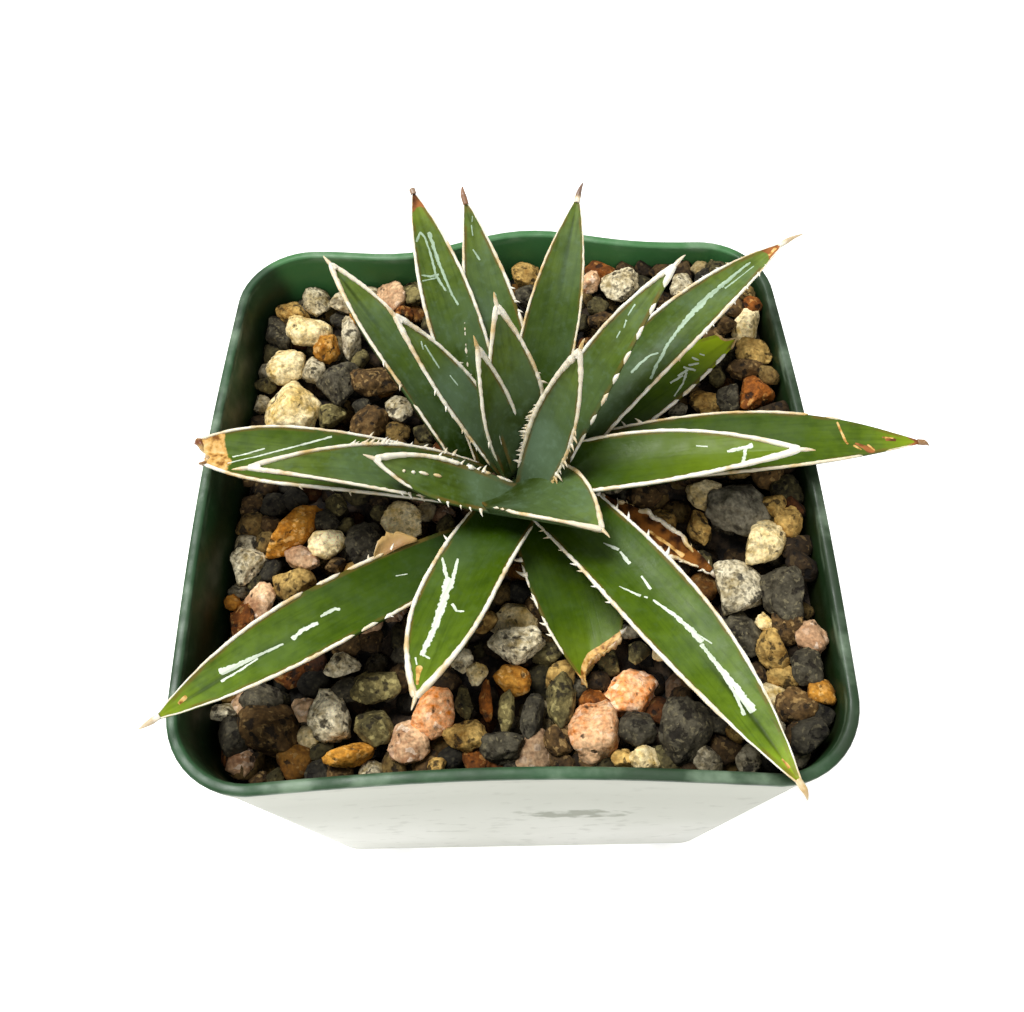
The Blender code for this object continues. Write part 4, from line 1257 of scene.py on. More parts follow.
                rub_and_highlight(0.25, 0.22, (0.7, 0.15), (0.66, 0.15)), rub_and_highlight(0.2, 0.18, (0.67, 0.25), (0.62, 0.2)),
                rub_and_highlight(0.2, 0.14, (0.69, 0.25), (0.65, 0.55), (0.59, 0.75)))),
    Leaf(21, (5.0, -2.5, 76.0), -66, -24, (10, -11), 30.0, 13.5, (4, 7), widest=0.35, taper=2.3, kept=0.86,
         tip=Tip.CUT, horn=(0.34, 0.38), left=((0.5, 0.62),), right=((0.3, 0.44), (0.47, 0.56), (0.6, 0.8)),
         teeth=(0.15, 0.75), tooth_pitch=3.2, tooth_size=1.1, sun=(0.6, 0.2), dry=1.5, callus=1.3, tan=0.3,
         deep=((0.2, 0.2), (0.5, 0.45), (0.9, 0.4)),
         ends=((-1.0, 0.75), (-0.5, 0.8), (0.0, 0.83), (0.5, 0.9), (0.85, 0.95), (1.0, 0.92))),
)
WITHERED = Leaf(22, (5.0, -2.0, 77.5), -12, -32, (2, -4), 28.0, 5.5, (6, -6), horn=(0.75, 0.75), teeth=(0.1, 0.95),
                tooth_pitch=2.2, tooth_size=0.6, tip=Tip.GREY, dry=0.0, tan=0.35,
                marks=(spot(0.25, 0.3, (0.1, 0.1), (0.35, 0.0), (0.55, 0.2)), spot(0.2, 0.35, (0.6, -0.1), (0.8, 0.2))))
# Each kind of spine: the blade's half width where its cap starts, how grey it is and how brown.
SPINES = {Tip.IVORY: (0.75, 0.1, 0.0), Tip.GREY: (0.42, 0.9, 0.2), Tip.PALE: (0.42, 0.12, 0.12),
          Tip.BROWN: (0.4, 0.2, 0.85), Tip.DRY: (0.3, 0.4, 0.6)}
YOUNG = 9  # the inner leaves
BLOOMED = (1, 2, 3, 4, 5, 6, 7, 9)  # those that are bluer and duller, under more bloom
DULL = (11, 12, 14, 15, 16)  # grown leaves that stand up in the shade of the others


@dataclass
class Rosette:
    """All the leaves: their blades, and the horny margins, dashes, teeth, tips and spines."""

    along_steps: int = 110
    across_steps: int = 26
    under_steps: int = 14
    stroke_step: float = 0.16  # between the sections of a stroke's strip
    stroke_reach: float = 1.6  # half the strip's width, in half widths of the stroke
    tooth_sides: int = 6
    spine_sides: int = 12
    seed: int = 7
    young: Material = field(init=False)
    dull: Material = field(init=False)
    old: Material = field(init=False)
    dead: Material = field(init=False)
    horn: Material = field(init=False)
    horn_tree: Tree = field(init=False)
    tooth: Object = field(init=False)

    def build(self) -> None:
        """Makes every leaf and its margins."""
        self.young = WaxyLeaf("waxy_leaf_young", "#2b3a0a", "#4d611f", "#677934", "#445628", rubbed="#b4c9b2").make()
        self.dull = WaxyLeaf("waxy_leaf_shaded", "#273a0b", "#4a5f1c", "#677a34", "#3f5520", rubbed="#b0c6ac").make()
        self.old = WaxyLeaf("waxy_leaf_grown", "#293f02", "#516a10", "#708a24", "#3f5520", roughness=0.38,
                            bloom_share=0.14).make()
        self.dead = WaxyLeaf("withered_leaf", "#3a1f10", "#7c4524", "#b98a52", "#6b4024", roughness=0.7,
                             bloom_share=0.0, dry="#83501f", char="#2b160a").make()
        self.horn = LeafHorn().make()
        self.tooth = self.tooth_mesh()
        self.horn_tree = self.margin_tree()
        for leaf in LEAVES:
            grown = self.dull if leaf.number in DULL else self.old
            blade = self.blade(leaf, self.young if leaf.number in BLOOMED else grown)
            place(blade, "leaf_young" if leaf.number <= YOUNG else "leaf_old", f"leaf_{leaf.number:02d}")
            place(self.margin(leaf), "margin", f"margin_{leaf.number:02d}")
        place(self.blade(WITHERED, self.dead), "leaf_dead", "leaf_22")
        place(self.margin(WITHERED), "margin", "margin_22")
        bpy.data.objects.remove(self.tooth, do_unlink=True)

    def stations(self, leaf: Leaf, end: float) -> list:
        """Even shares of the length from behind the foot to an end, closer together at the tip."""
        shares = np.linspace(0.0, 1.0, self.along_steps + 1)
        return list(-SHEATH / leaf.length * (1 - shares[:8] / shares[8])) + list(end * shares**0.92)

    def section(self, leaf: Leaf, t: float) -> list:
        """A blade's section: places across and heights, from the left edge over the top and back.

        Args:
            leaf: the leaf.
            t: a share of its length.

        Returns:
            Pairs of a place across and a height.
        """
        full = max(leaf.half_width(t), 0.06)
        inner = full - 0.45 * min(0.5, 0.35 * full)
        top = [inner * math.sin(math.pi / 2 * s) for s in np.linspace(-1, 1, self.across_steps)]
        low = [inner * math.sin(math.pi / 2 * s) for s in np.linspace(1, -1, self.under_steps)]
        drop = leaf.edge(t)
        side = 0.3 * drop
        upper = [(v, leaf.over(t, v)) for v in top]
        lower = [(v, leaf.under(t, v)) for v in low]
        right = [(inner + side * 0.8, -0.3 * drop), (inner + side * 0.8, -0.7 * drop)]
        left = [(-v, n) for v, n in reversed(right)]
        return upper + right + lower + left

    def blade(self, leaf: Leaf, finish: Material) -> Object:
        """Makes a leaf's blade, with the numbers that its finish reads.

        Args:
            leaf: the leaf.
            finish: the blade's material.

        Returns:
            The blade's object, with a finer skin where it has marks.
        """
        path = leaf.path()
        end = min(leaf.kept, leaf.narrowed(BLADE_END))
        skin = Skin()
        stations = self.stations(leaf, end)
        for t in stations:
            behind = min(t, 0.0) * leaf.length
            pinch = 1 - (1 - SHEATH_WIDTH) * min(-behind / SHEATH, 1.0)
            for index, (v, n) in enumerate(self.section(leaf, t)):
                share = v / max(leaf.half_width(t), BLADE_END)
                here = t * (1 + (leaf.reach(share) / leaf.kept - 1) * smooth(t, 0.5, leaf.kept))
                point, along, right, up = frame_at(path, here)
                grow = max(leaf.half_width(here), BLADE_END) / max(leaf.half_width(t), BLADE_END) if leaf.ends else 1.0
                spot = point + along * behind + right * v * pinch * grow + up * (n * grow + self.wave(leaf, t, v))
                skin.add(spot, self.numbers(leaf, here, share, index >= self.across_steps + 1))
        skin.close(len(stations), len(self.section(leaf, 0.5)))
        for mark in leaf.marks:
            self.stroke(skin, leaf, path, mark)
        blade = mesh_object(f"blade_{leaf.number:02d}", skin.points, skin.faces, [finish])
        for name in skin.numbers[0]:
            set_numbers(blade.data, name, [n[name] for n in skin.numbers])
        return blade

    def stroke(self, skin: "Skin", leaf: Leaf, path: list, mark: Mark) -> None:
        """Adds a fine strip of the blade's own skin along a mark, just clear of the blade.

        Args:
            skin: the skin that it is added to.
            leaf: the leaf.
            path: the leaf's frames.
            mark: the mark.
        """
        spots = [np.array((t * leaf.length, s * leaf.half_width(t))) for t, s in mark.places]
        lengths = [0.0]
        for low, high in zip(spots, spots[1:]):
            lengths.append(lengths[-1] + float(np.linalg.norm(high - low)))
        total = max(lengths[-1], 0.05)
        lap = 1.4 * max(mark.widths)
        count = max(8, int((total + 2 * lap) / self.stroke_step))
        across = np.linspace(-self.stroke_reach, self.stroke_reach, 11)
        for i in range(count + 1):
            run = -lap + (total + 2 * lap) * i / count
            inside = min(max(run, 0.0), total)
            centre, ahead, back = (
                np.array([np.interp(run_at, lengths, [s[k] for s in spots]) for k in (0, 1)])
                for run_at in (inside, inside + 0.3, inside - 0.3)
            )
            way = (ahead - back) / max(float(np.linalg.norm(ahead - back)), 1e-6)
            centre = centre + way * (run - inside)
            wide = mark.widths[0] + (mark.widths[1] - mark.widths[0]) * inside / total
            wide *= 1 + 0.3 * noise.noise(Vector((run / 0.8, leaf.number, spots[0][0])))
            past = abs(run - inside) / wide
            rows = [(s, 0.03 - 0.1 * (abs(s) / self.stroke_reach) ** 4) for s in across] + [(1.5, -0.2), (-1.5, -0.2)]
            for s, lift in rows:
                u, v = centre + np.array((-way[1], way[0])) * s * wide
                t = u / leaf.length
                limit = 0.97 * leaf.half_width(t)
                v = min(max(v, -limit), limit)
                point, _, right, up = frame_at(path, t)
                height = leaf.over(t, v) + self.wave(leaf, t, v) + lift - 0.1 * min(past, 1.0) ** 4
                numbers = self.numbers(leaf, t, v / max(leaf.half_width(t), BLADE_END), False)
                value = 1 - math.hypot(s, past) / 2
                numbers[mark.kind.value] = max(numbers[mark.kind.value], value)
                skin.add(point + right * v + up * height, numbers)
        skin.close(count + 1, len(across) + 2)

    def wave(self, leaf: Leaf, t: float, v: float) -> float:
        """The slight unevenness of a blade's surface, and the crumpling of a withered one.

        Args:
            leaf: the leaf.
            t: a share of its length.
            v: a place across.

        Returns:
            The height to add.
        """
        size, pitch = (0.9, 3.0) if leaf is WITHERED else (0.08, 7.0)
        return size * noise.noise(Vector((t * leaf.length / pitch, v / pitch, leaf.number * 3.7)))

    def numbers(self, leaf: Leaf, t: float, share: float, below: bool) -> dict:
        """One point's numbers for the finish: its place, bloom, yellowing and painted light, painted shade, drying and
        the horn's brown rim.

        Args:
            leaf: the leaf.
            t: a share of its length.
            share: a place across, from -1 to 1.
            below: whether it is on the underside.

        Returns:
            The numbers by name.
        """
        half = max(leaf.half_width(t), BLADE_END)
        bloom = 0.0
        for t0, s0, size, strength in leaf.bloom:
            away = math.hypot((t - t0) * leaf.length, (share - s0) * half) / size
            bloom = max(bloom, strength * (1 - smooth(away, 0.45, 1.0)))
        edge = (1 - abs(share)) * half - 0.9 * max(leaf.horn)
        left = (leaf.reach(share) - t) * leaf.length
        return {
            "along": min(max(t, 0.0), 1.0),
            "run": t * leaf.length + 90.0 * leaf.number,
            "width": share * half,
            "under": 1.0 if below else 0.0,
            "streak": 0.0,
            "bloom": bloom,
            "deep": float(np.interp(t, *zip(*leaf.deep))) if leaf.deep else 0.0,
            "sun": leaf.sun[1] * smooth(t, leaf.sun[0], min(leaf.sun[0] + 0.4, leaf.kept)),
            "dry": smooth(t + 0.02 * share * share, leaf.dry - 0.02, leaf.dry + 0.02),
            "cream": 1 - smooth(left, 0.6 * leaf.callus, 1.4 * leaf.callus) if leaf.tip is Tip.CUT else 0.0,
            "groove": leaf.groove * math.exp(-((share / 0.09) ** 2)) * smooth(t, 0.5, 0.8) * (1 - smooth(t, 0.9, 0.97)),
            "rim": 0.0 if below else 1 - smooth(edge, 0.0, 0.25),
        }

    # ------------------------------------------------------------ margins
    def tooth_mesh(self) -> Object:
        """One hooked tooth, 1 mm long, that grows along +X and curls towards -Y.

        Returns:
            The tooth.
        """
        rings, points = 6, []
        for i in range(rings):
            t = i / (rings - 1)
            radius = 0.3 * (1 - t) ** 0.8 + 0.02
            for k in range(self.tooth_sides):
                angle = 2 * math.pi * k / self.tooth_sides
                points.append((t - 0.15, -0.45 * t * t + radius * math.cos(angle), 0.7 * radius * math.sin(angle)))
        return mesh_object("tooth", points, grid_faces(rings, self.tooth_sides), [])

    def margin_tree(self) -> Tree:
        """The tree that turns edge chains to horny cords and loose points to teeth.

        Returns:
            The tree.
        """
        made = Tree("horny_margin")
        made.input("Cord Sides", "Int", 10)
        made.input("Tooth", "Object")
        made.input("Tooth Scale", "Float", 1.0)
        made.input("Horn", "Material")
        node = partial(add_node, made.tree)
        is_tooth = node(Kind.STORED, "tooth")
        parted = {"inputs": {0: made.given("Geometry"), 1: is_tooth}}
        line = node(GN + "MeshToCurve", node(GN + "SeparateGeometry", output="Inverted", **parted))
        inputs = {"Resolution": made.given("Cord Sides"), "Radius": 1.0}
        ring = node(GN + "CurvePrimitiveCircle", inputs=inputs)
        thick = node(Kind.STORED, "thick")
        cords = node(GN + "CurveToMesh", line, ring, inputs={"Scale": thick, "Fill Caps": True})
        turn = node(Kind.STORED_VECTOR, "turn")
        turn = node("FunctionNodeEulerToRotation", turn)
        hook = node(GN + "ObjectInfo", made.given("Tooth"), True, output="Geometry")
        size = node(Kind.TIMES, is_tooth, made.given("Tooth Scale"))
        points = node(GN + "SeparateGeometry", output="Selection", **parted)
        inputs = {"Points": points, "Instance": hook, "Rotation": turn, "Scale": size}
        teeth = node(GN + "RealizeInstances", node(GN + "InstanceOnPoints", inputs=inputs))
        both = node(GN + "JoinGeometry", inputs={0: [cords, teeth]})
        both = node(GN + "SetShadeSmooth", both)
        both = node(GN + "SetMaterial", inputs={0: both, "Material": made.given("Horn")})
        node("NodeGroupOutput", both)
        return made

    def margin(self, leaf: Leaf) -> Object:
        """Makes a leaf's horny parts as one object.

        Args:
            leaf: the leaf.

        Returns:
            Both margins, the marks on face and keel, the teeth, and the tip or the callus.
        """
        path = leaf.path()
        rng = random.Random(self.seed + leaf.number)
        chains = Chains()
        end = leaf.kept if leaf.tip is Tip.CUT else leaf.narrowed(CORD_END)
        for side, horn, stretches in ((-1, leaf.horn[0], leaf.left), (1, leaf.horn[1], leaf.right)):
            for low, high in stretches:
                self.cord(chains, leaf, path, (max(low, 0.02), min(high, leaf.reach(side), end)), side, 0.5 * horn, rng)
        for low, high, across in leaf.dashes:
            self.dash(chains, leaf, path, (low, high), across)
        for low, high in leaf.keel:
            self.keel_line(chains, leaf, path, (low, min(high, end)))
        self.set_teeth(chains, leaf, path, rng)
        cords = self.horn_tree.run(chains.object("chains"), "cords", Tooth=self.tooth, Tooth_Scale=1.0, Horn=self.horn)
        for name in TONES:
            if name not in cords.data.attributes:
                set_numbers(cords.data, name, [leaf.tan if name == "tan" else 0.0] * len(cords.data.vertices))
        tip = self.callus(leaf, path) if leaf.tip is Tip.CUT else self.spine(leaf, path)
        scraps = [self.scrap(leaf, path, torn) for torn in leaf.scraps]
        return join([cords, tip, *scraps], f"horn_{leaf.number:02d}")

    def cord(self, chains: "Chains", leaf: Leaf, path: list, stretch: tuple, side: int, thick: float,
             rng: random.Random) -> None:
        """Adds one stretch of horny margin, uneven along its length and tapered at its ends.

        Args:
            chains: what it is added to.
            leaf: the leaf.
            path: the leaf's frames.
            stretch: where along the leaf it runs.
            side: -1 for the left margin, 1 for the right.
            thick: half its thickness.
            rng: the leaf's own random numbers.
        """
        low, high = stretch
        steps = max(6, int((high - low) * leaf.length / 0.3))
        phase = rng.uniform(0, 50)
        wild = 0.6 if leaf is WITHERED else 0.0
        late = {Tip.IVORY: 0.55, Tip.CUT: 0.0}.get(leaf.tip, -0.6)  # how much the last part thickens or thins
        for i in range(steps + 1):
            share = i / steps
            t = low + (high - low) * share
            point, _, right, up = frame_at(path, t)
            bend = noise.noise(Vector((t * leaf.length / 1.4, phase, side)))
            lump = noise.noise(Vector((t * leaf.length / 0.7, phase + 9, side)))
            ends = min(share, 1 - share) * (high - low) * leaf.length
            close = 1.0 if high >= leaf.narrowed(CORD_END) and share > 0.5 else smooth(ends, -0.05, 0.6)
            grown = 0.6 + 0.4 * smooth(t, 0.02, 0.35)
            grown *= 1 + late * smooth(t, 0.72, 0.92)
            radius = thick * grown * (1 + 0.22 * lump + 0.15 * bend) * (0.12 + 0.88 * close)
            radius = min(radius, 0.9 * leaf.half_width(t) + 0.05)
            out = leaf.half_width(t) - 0.5 * radius + (0.07 + wild) * bend
            drop = -0.22 * leaf.edge(t) + (0.05 + wild) * lump
            chains.add(point + right * side * out + up * drop, radius, leaf.tan, start=i == 0)

    def dash(self, chains: "Chains", leaf: Leaf, path: list, stretch: tuple, across: float) -> None:
        """Adds a short horn mark on the blade's face.

        Args:
            chains: what it is added to.
            leaf: the leaf.
            path: the leaf's frames.
            stretch: where along the leaf it runs.
            across: its place across, from -1 to 1.
        """
        for i in range(9):
            t = stretch[0] + (stretch[1] - stretch[0]) * i / 8
            point, _, right, up = frame_at(path, t)
            v = across * leaf.half_width(t)
            radius = 0.26 * math.sqrt(max(1 - (i / 4 - 1) ** 2, 0.02))
            chains.add(point + right * v + up * (leaf.over(t, v) + 0.02), radius, leaf.tan, start=i == 0)

    def keel_line(self, chains: "Chains", leaf: Leaf, path: list, stretch: tuple) -> None:
        """Adds the horn line along the keel.

        Args:
            chains: what it is added to.
            leaf: the leaf.
            path: the leaf's frames.
            stretch: where along the leaf it runs.
        """
        for i in range(31):
            t = stretch[0] + (stretch[1] - stretch[0]) * i / 30
            point, _, _, up = frame_at(path, t)
            radius = 0.24 * (0.15 + 0.85 * smooth(i, 0, 8))
            chains.add(point + up * (leaf.under(t, 0.0) + 0.05), radius, 0.5, start=i == 0)

    def set_teeth(self, chains: "Chains", leaf: Leaf, path: list, rng: random.Random) -> None:
        """Adds the loose points that the teeth grow from.

        Args:
            chains: what they are added to.
            leaf: the leaf.
            path: the leaf's frames.
            rng: the leaf's own random numbers.
        """
        both = [(side, *leaf.teeth, leaf.tooth_pitch, leaf.tooth_size) for side in (-1, 1)]
        for side, start, stop, pitch, full in (*both, *leaf.rows):
            spot = start * leaf.length + rng.uniform(0, pitch)
            while spot < stop * leaf.length:
                t = spot / leaf.length
                point, along, right, up = frame_at(path, t)
                out = right * side + up * rng.uniform(-0.1, 0.5) + along * rng.uniform(-0.3, 0.2)
                out.normalize()
                back = (-along - out * out.dot(-along)).normalized()
                turn = Matrix((out, -back, out.cross(-back))).transposed()
                root = point + right * side * (leaf.half_width(t) - 0.1) - up * 0.15
                chains.add_tooth(root, turn.to_euler(), full * rng.uniform(0.6, 1.5), leaf.tan)
                spot += pitch * rng.uniform(0.5, 1.5)

    def scrap(self, leaf: Leaf, path: list, torn: tuple) -> Object:
        """Makes a torn strip of dry margin, curled up from the blade's edge.

        Args:
            leaf: the leaf.
            path: the leaf's frames.
            torn: its side, start, end and width.

        Returns:
            The strip, a thin closed sheet.
        """
        side, start, stop, width = torn
        rings, points, tan, brown = 16, [], [], []
        for i in range(rings):
            share = i / (rings - 1)
            t = start + (stop - start) * share
            point, _, right, up = frame_at(path, t)
            wide = width * (0.15 + 0.85 * math.sin(math.pi * share) ** 0.8)
            wide *= 1 + 0.3 * noise.noise(Vector((i * 0.7, 3, 1)))
            outer = [(k / 4, 0.07) for k in range(5)] + [(k / 4, -0.07) for k in range(4, -1, -1)]
            for across, lift in outer:
                curl = 0.55 * wide * across**2 + lift + 0.3 * math.sin(5 * share + 3 * across)
                spot = point + right * side * (leaf.half_width(t) - 0.4 + wide * across)
                points.append(spot + up * curl)
                tan.append(1.0)
                brown.append(0.3 + 0.5 * (1 - across) * math.sin(math.pi * share))
        return self.horn_loft("scrap", points, rings, (tan, [0.0] * len(tan), brown))

    def horn_loft(self, name: str, points: list, rings: int, tones: tuple) -> Object:
        """Makes a closed loft of horn.

        Args:
            name: its name.
            points: its points, ring by ring.
            rings: how many rings.
            tones: how tan, how grey and how brown each point is.

        Returns:
            The loft.
        """
        made = mesh_object(name, points, grid_faces(rings, len(points) // rings), [self.horn])
        for label, values in zip(TONES, tones):
            set_numbers(made.data, label, values)
        return made

    def spine(self, leaf: Leaf, path: list) -> Object:
        """Makes the horn cap at the leaf's end, drawn out to its spine.

        Args:
            leaf: the leaf.
            path: the leaf's frames.

        Returns:
            The cap with its spine.
        """
        cap, grey, brown = SPINES[leaf.tip]
        reach = leaf.spine
        start = leaf.narrowed(cap)
        _, tip_along, tip_right, tip_up = path[-1]
        rings, points, shares = 22, [], []
        body = (1 - start) * leaf.length
        hook = 0.15 if leaf.tip is Tip.IVORY else 0.5
        from_start = leaf.tip in (Tip.BROWN, Tip.DRY)
        for i in range(rings):
            run = (body + reach) * i / (rings - 1)
            t = start + run / leaf.length
            past = max(run - body, 0.0)
            point, _, right, up = frame_at(path, t)
            bend = hook * (past / reach) ** 2
            point = point + tip_along * past + (tip_right * 0.6 - tip_up) * bend
            slim = (0.26 if leaf.tip is Tip.IVORY else 0.42) * max(1 - past / reach, 0.0) ** 0.7 + 0.04
            wide = max(leaf.half_width(t) * 1.02, slim)
            tall = min(0.2 + 0.35 * wide, 0.42) * (1.0 if past == 0 else slim / 0.37)
            for k in range(self.spine_sides):
                angle = 2 * math.pi * k / self.spine_sides
                lift = -0.12 if past == 0 else -0.12 * (1 - past / reach)
                points.append(point + right * wide * math.cos(angle) + up * (tall * math.sin(angle) + lift))
                shares.append(1.0 if from_start else smooth(run, 0.4 * body, body + 0.1 * reach))
        tones = [leaf.tan + 0.35 * s for s in shares], [grey * s for s in shares], [brown * s for s in shares]
        return self.horn_loft("spine", points, rings, tones)

    def callus(self, leaf: Leaf, path: list) -> Object:
        """Makes the dry ragged edge across a leaf that was cut short.

        Args:
            leaf: the leaf.
            path: the leaf's frames.

        Returns:
            The edge.
        """
        points, tan, brown = [], [], []
        steps, sides = 70, 10
        for i in range(steps + 1):
            share = 2 * i / steps - 1
            t = leaf.reach(share)
            v = share * leaf.half_width(t)
            ragged = noise.noise(Vector((v / 0.5, leaf.number, 0.5)))
            coarse = noise.noise(Vector((v / 1.3, leaf.number, 7.5)))
            point, along, right, up = frame_at(path, t)
            top, low = leaf.over(t, v) + 0.1, leaf.under(t, v) - 0.1
            middle, tall = (top + low) / 2 + 0.3 * coarse, (top - low) / 2 * (1 + 0.25 * ragged)
            reach = (0.5 + 0.45 * ragged + 0.4 * coarse) * min(0.3 + leaf.callus, 1.0)
            for k in range(sides):
                angle = 2 * math.pi * k / sides
                grit = 1 + 0.25 * noise.noise(Vector((v / 0.35, k * 1.7, leaf.number)))
                forward = (reach if math.cos(angle) > 0 else 0.4) * math.cos(angle) * grit
                points.append(point + along * forward + right * v + up * (middle + tall * math.sin(angle) * grit))
                tan.append(0.9)
                brown.append(max(0.35 + 0.6 * ragged + 0.7 * coarse, 0.0) * min(leaf.callus, 1.0))
        return self.horn_loft("callus", points, steps + 1, (tan, [0.0] * len(tan), brown))


@dataclass
class Skin:
    """The points, numbers and faces of a blade while it is made."""

    points: list = field(default_factory=list)
    numbers: list = field(default_factory=list)
    faces: list = field(default_factory=list)
    closed: int = 0

    def add(self, point: Vector, numbers: dict) -> None:
        """Adds a point and its numbers."""
        self.points.append(point)
        self.numbers.append(numbers)

    def close(self, rings: int, count: int) -> None:
        """Makes the faces of the points added since the last call, which form rings."""
        self.faces.extend([[self.closed + i for i in face] for face in grid_faces(rings, count)])
        self.closed = len(self.points)


@dataclass
class Chains:
    """Edge chains and loose points, with the numbers that the margin tree reads."""

    points: list = field(default_factory=list)
    edges: list = field(default_factory=list)
    thick: list = field(default_factory=list)
    tan: list = field(default_factory=list)
    tooth: list = field(default_factory=list)
    turn: list = field(default_factory=list)

    def add(self, point: Vector, thick: float, tan: float, start: bool) -> None:
        """Adds a point to the current chain, or starts another chain with it.

        Args:
            point: the point.
            thick: half the cord's thickness there.
            tan: how tan the horn is there.
            start: whether another chain starts.
        """
        if not start:
            self.edges.append((len(self.points) - 1, len(self.points)))
        self.points.append(point * MM)
        self.thick.append(thick * MM)
        self.tan.append(tan)
        self.tooth.append(0.0)
        self.turn.append((0.0, 0.0, 0.0))

    def add_tooth(self, point: Vector, turn: Sequence, size: float, tan: float) -> None:
        """Adds the loose point that a tooth grows from.

        Args:
            point: the point.
            turn: the tooth's rotation.
            size: its length.
            tan: how tan it is.
        """
        self.add(point, 0.0, tan, start=True)
        self.tooth[-1] = size
        self.turn[-1] = tuple(turn)

    def object(self, name: str) -> Object:
        """Makes the mesh of edges and points that the tree is run on.

        Args:
            name: its name.

        Returns:
            The object.
        """
        mesh = bpy.data.meshes.new(name)
        mesh.from_pydata(self.points, self.edges, [])
        for label in ("thick", "tan", "tooth", "turn"):
            set_numbers(mesh, label, getattr(self, label))
        return new_object(name, mesh)


# ---------------------------------------------------------------- gravel
class Mineral(Enum):
    """The kinds of stone in the mix."""

    SLATE = PotStone("slate", "#504b3d", "#1f1b11", "#736b52", 0.12, 0.55)
    BANDED = PotStone("banded", "#86806e", "#2b271e", "#6e6b5d", 0.05, 0.3, pits=0.3, stretch=(1.0, 0.12, 0.6))
    GRANITE = PotStone("granite", "#e2d7b8", "#8d7d58", "#2b2415", 0.26, 0.7)
    CREAM = PotStone("cream", "#f4e4b8", "#bd9f5e", "#4b3a1c", 0.1, 0.8, pits=0.36)
    TAN = PotStone("tan", "#c8a869", "#7c5c2e", "#3d2c14", 0.12)
    AMBER = PotStone("amber", "#c9934a", "#7f4a18", "#e9bf7e", 0.12, pits=0.36)
    SALMON = PotStone("salmon", "#f3c79b", "#c8763a", "#f9e6cd", 0.1, 1.4, pits=0.34)
    ROSE = PotStone("rose", "#dcb992", "#8f6548", "#ecdac4", 0.1, 1.2, pits=0.36)
    RUST = PotStone("rust", "#8c5429", "#482812", "#c89a5f", 0.1)
    BROWN = PotStone("brown", "#614a2c", "#2c2011", "#a3875a", 0.14)
    OLIVE = PotStone("olive", "#786d46", "#36311d", "#aca06c", 0.12)


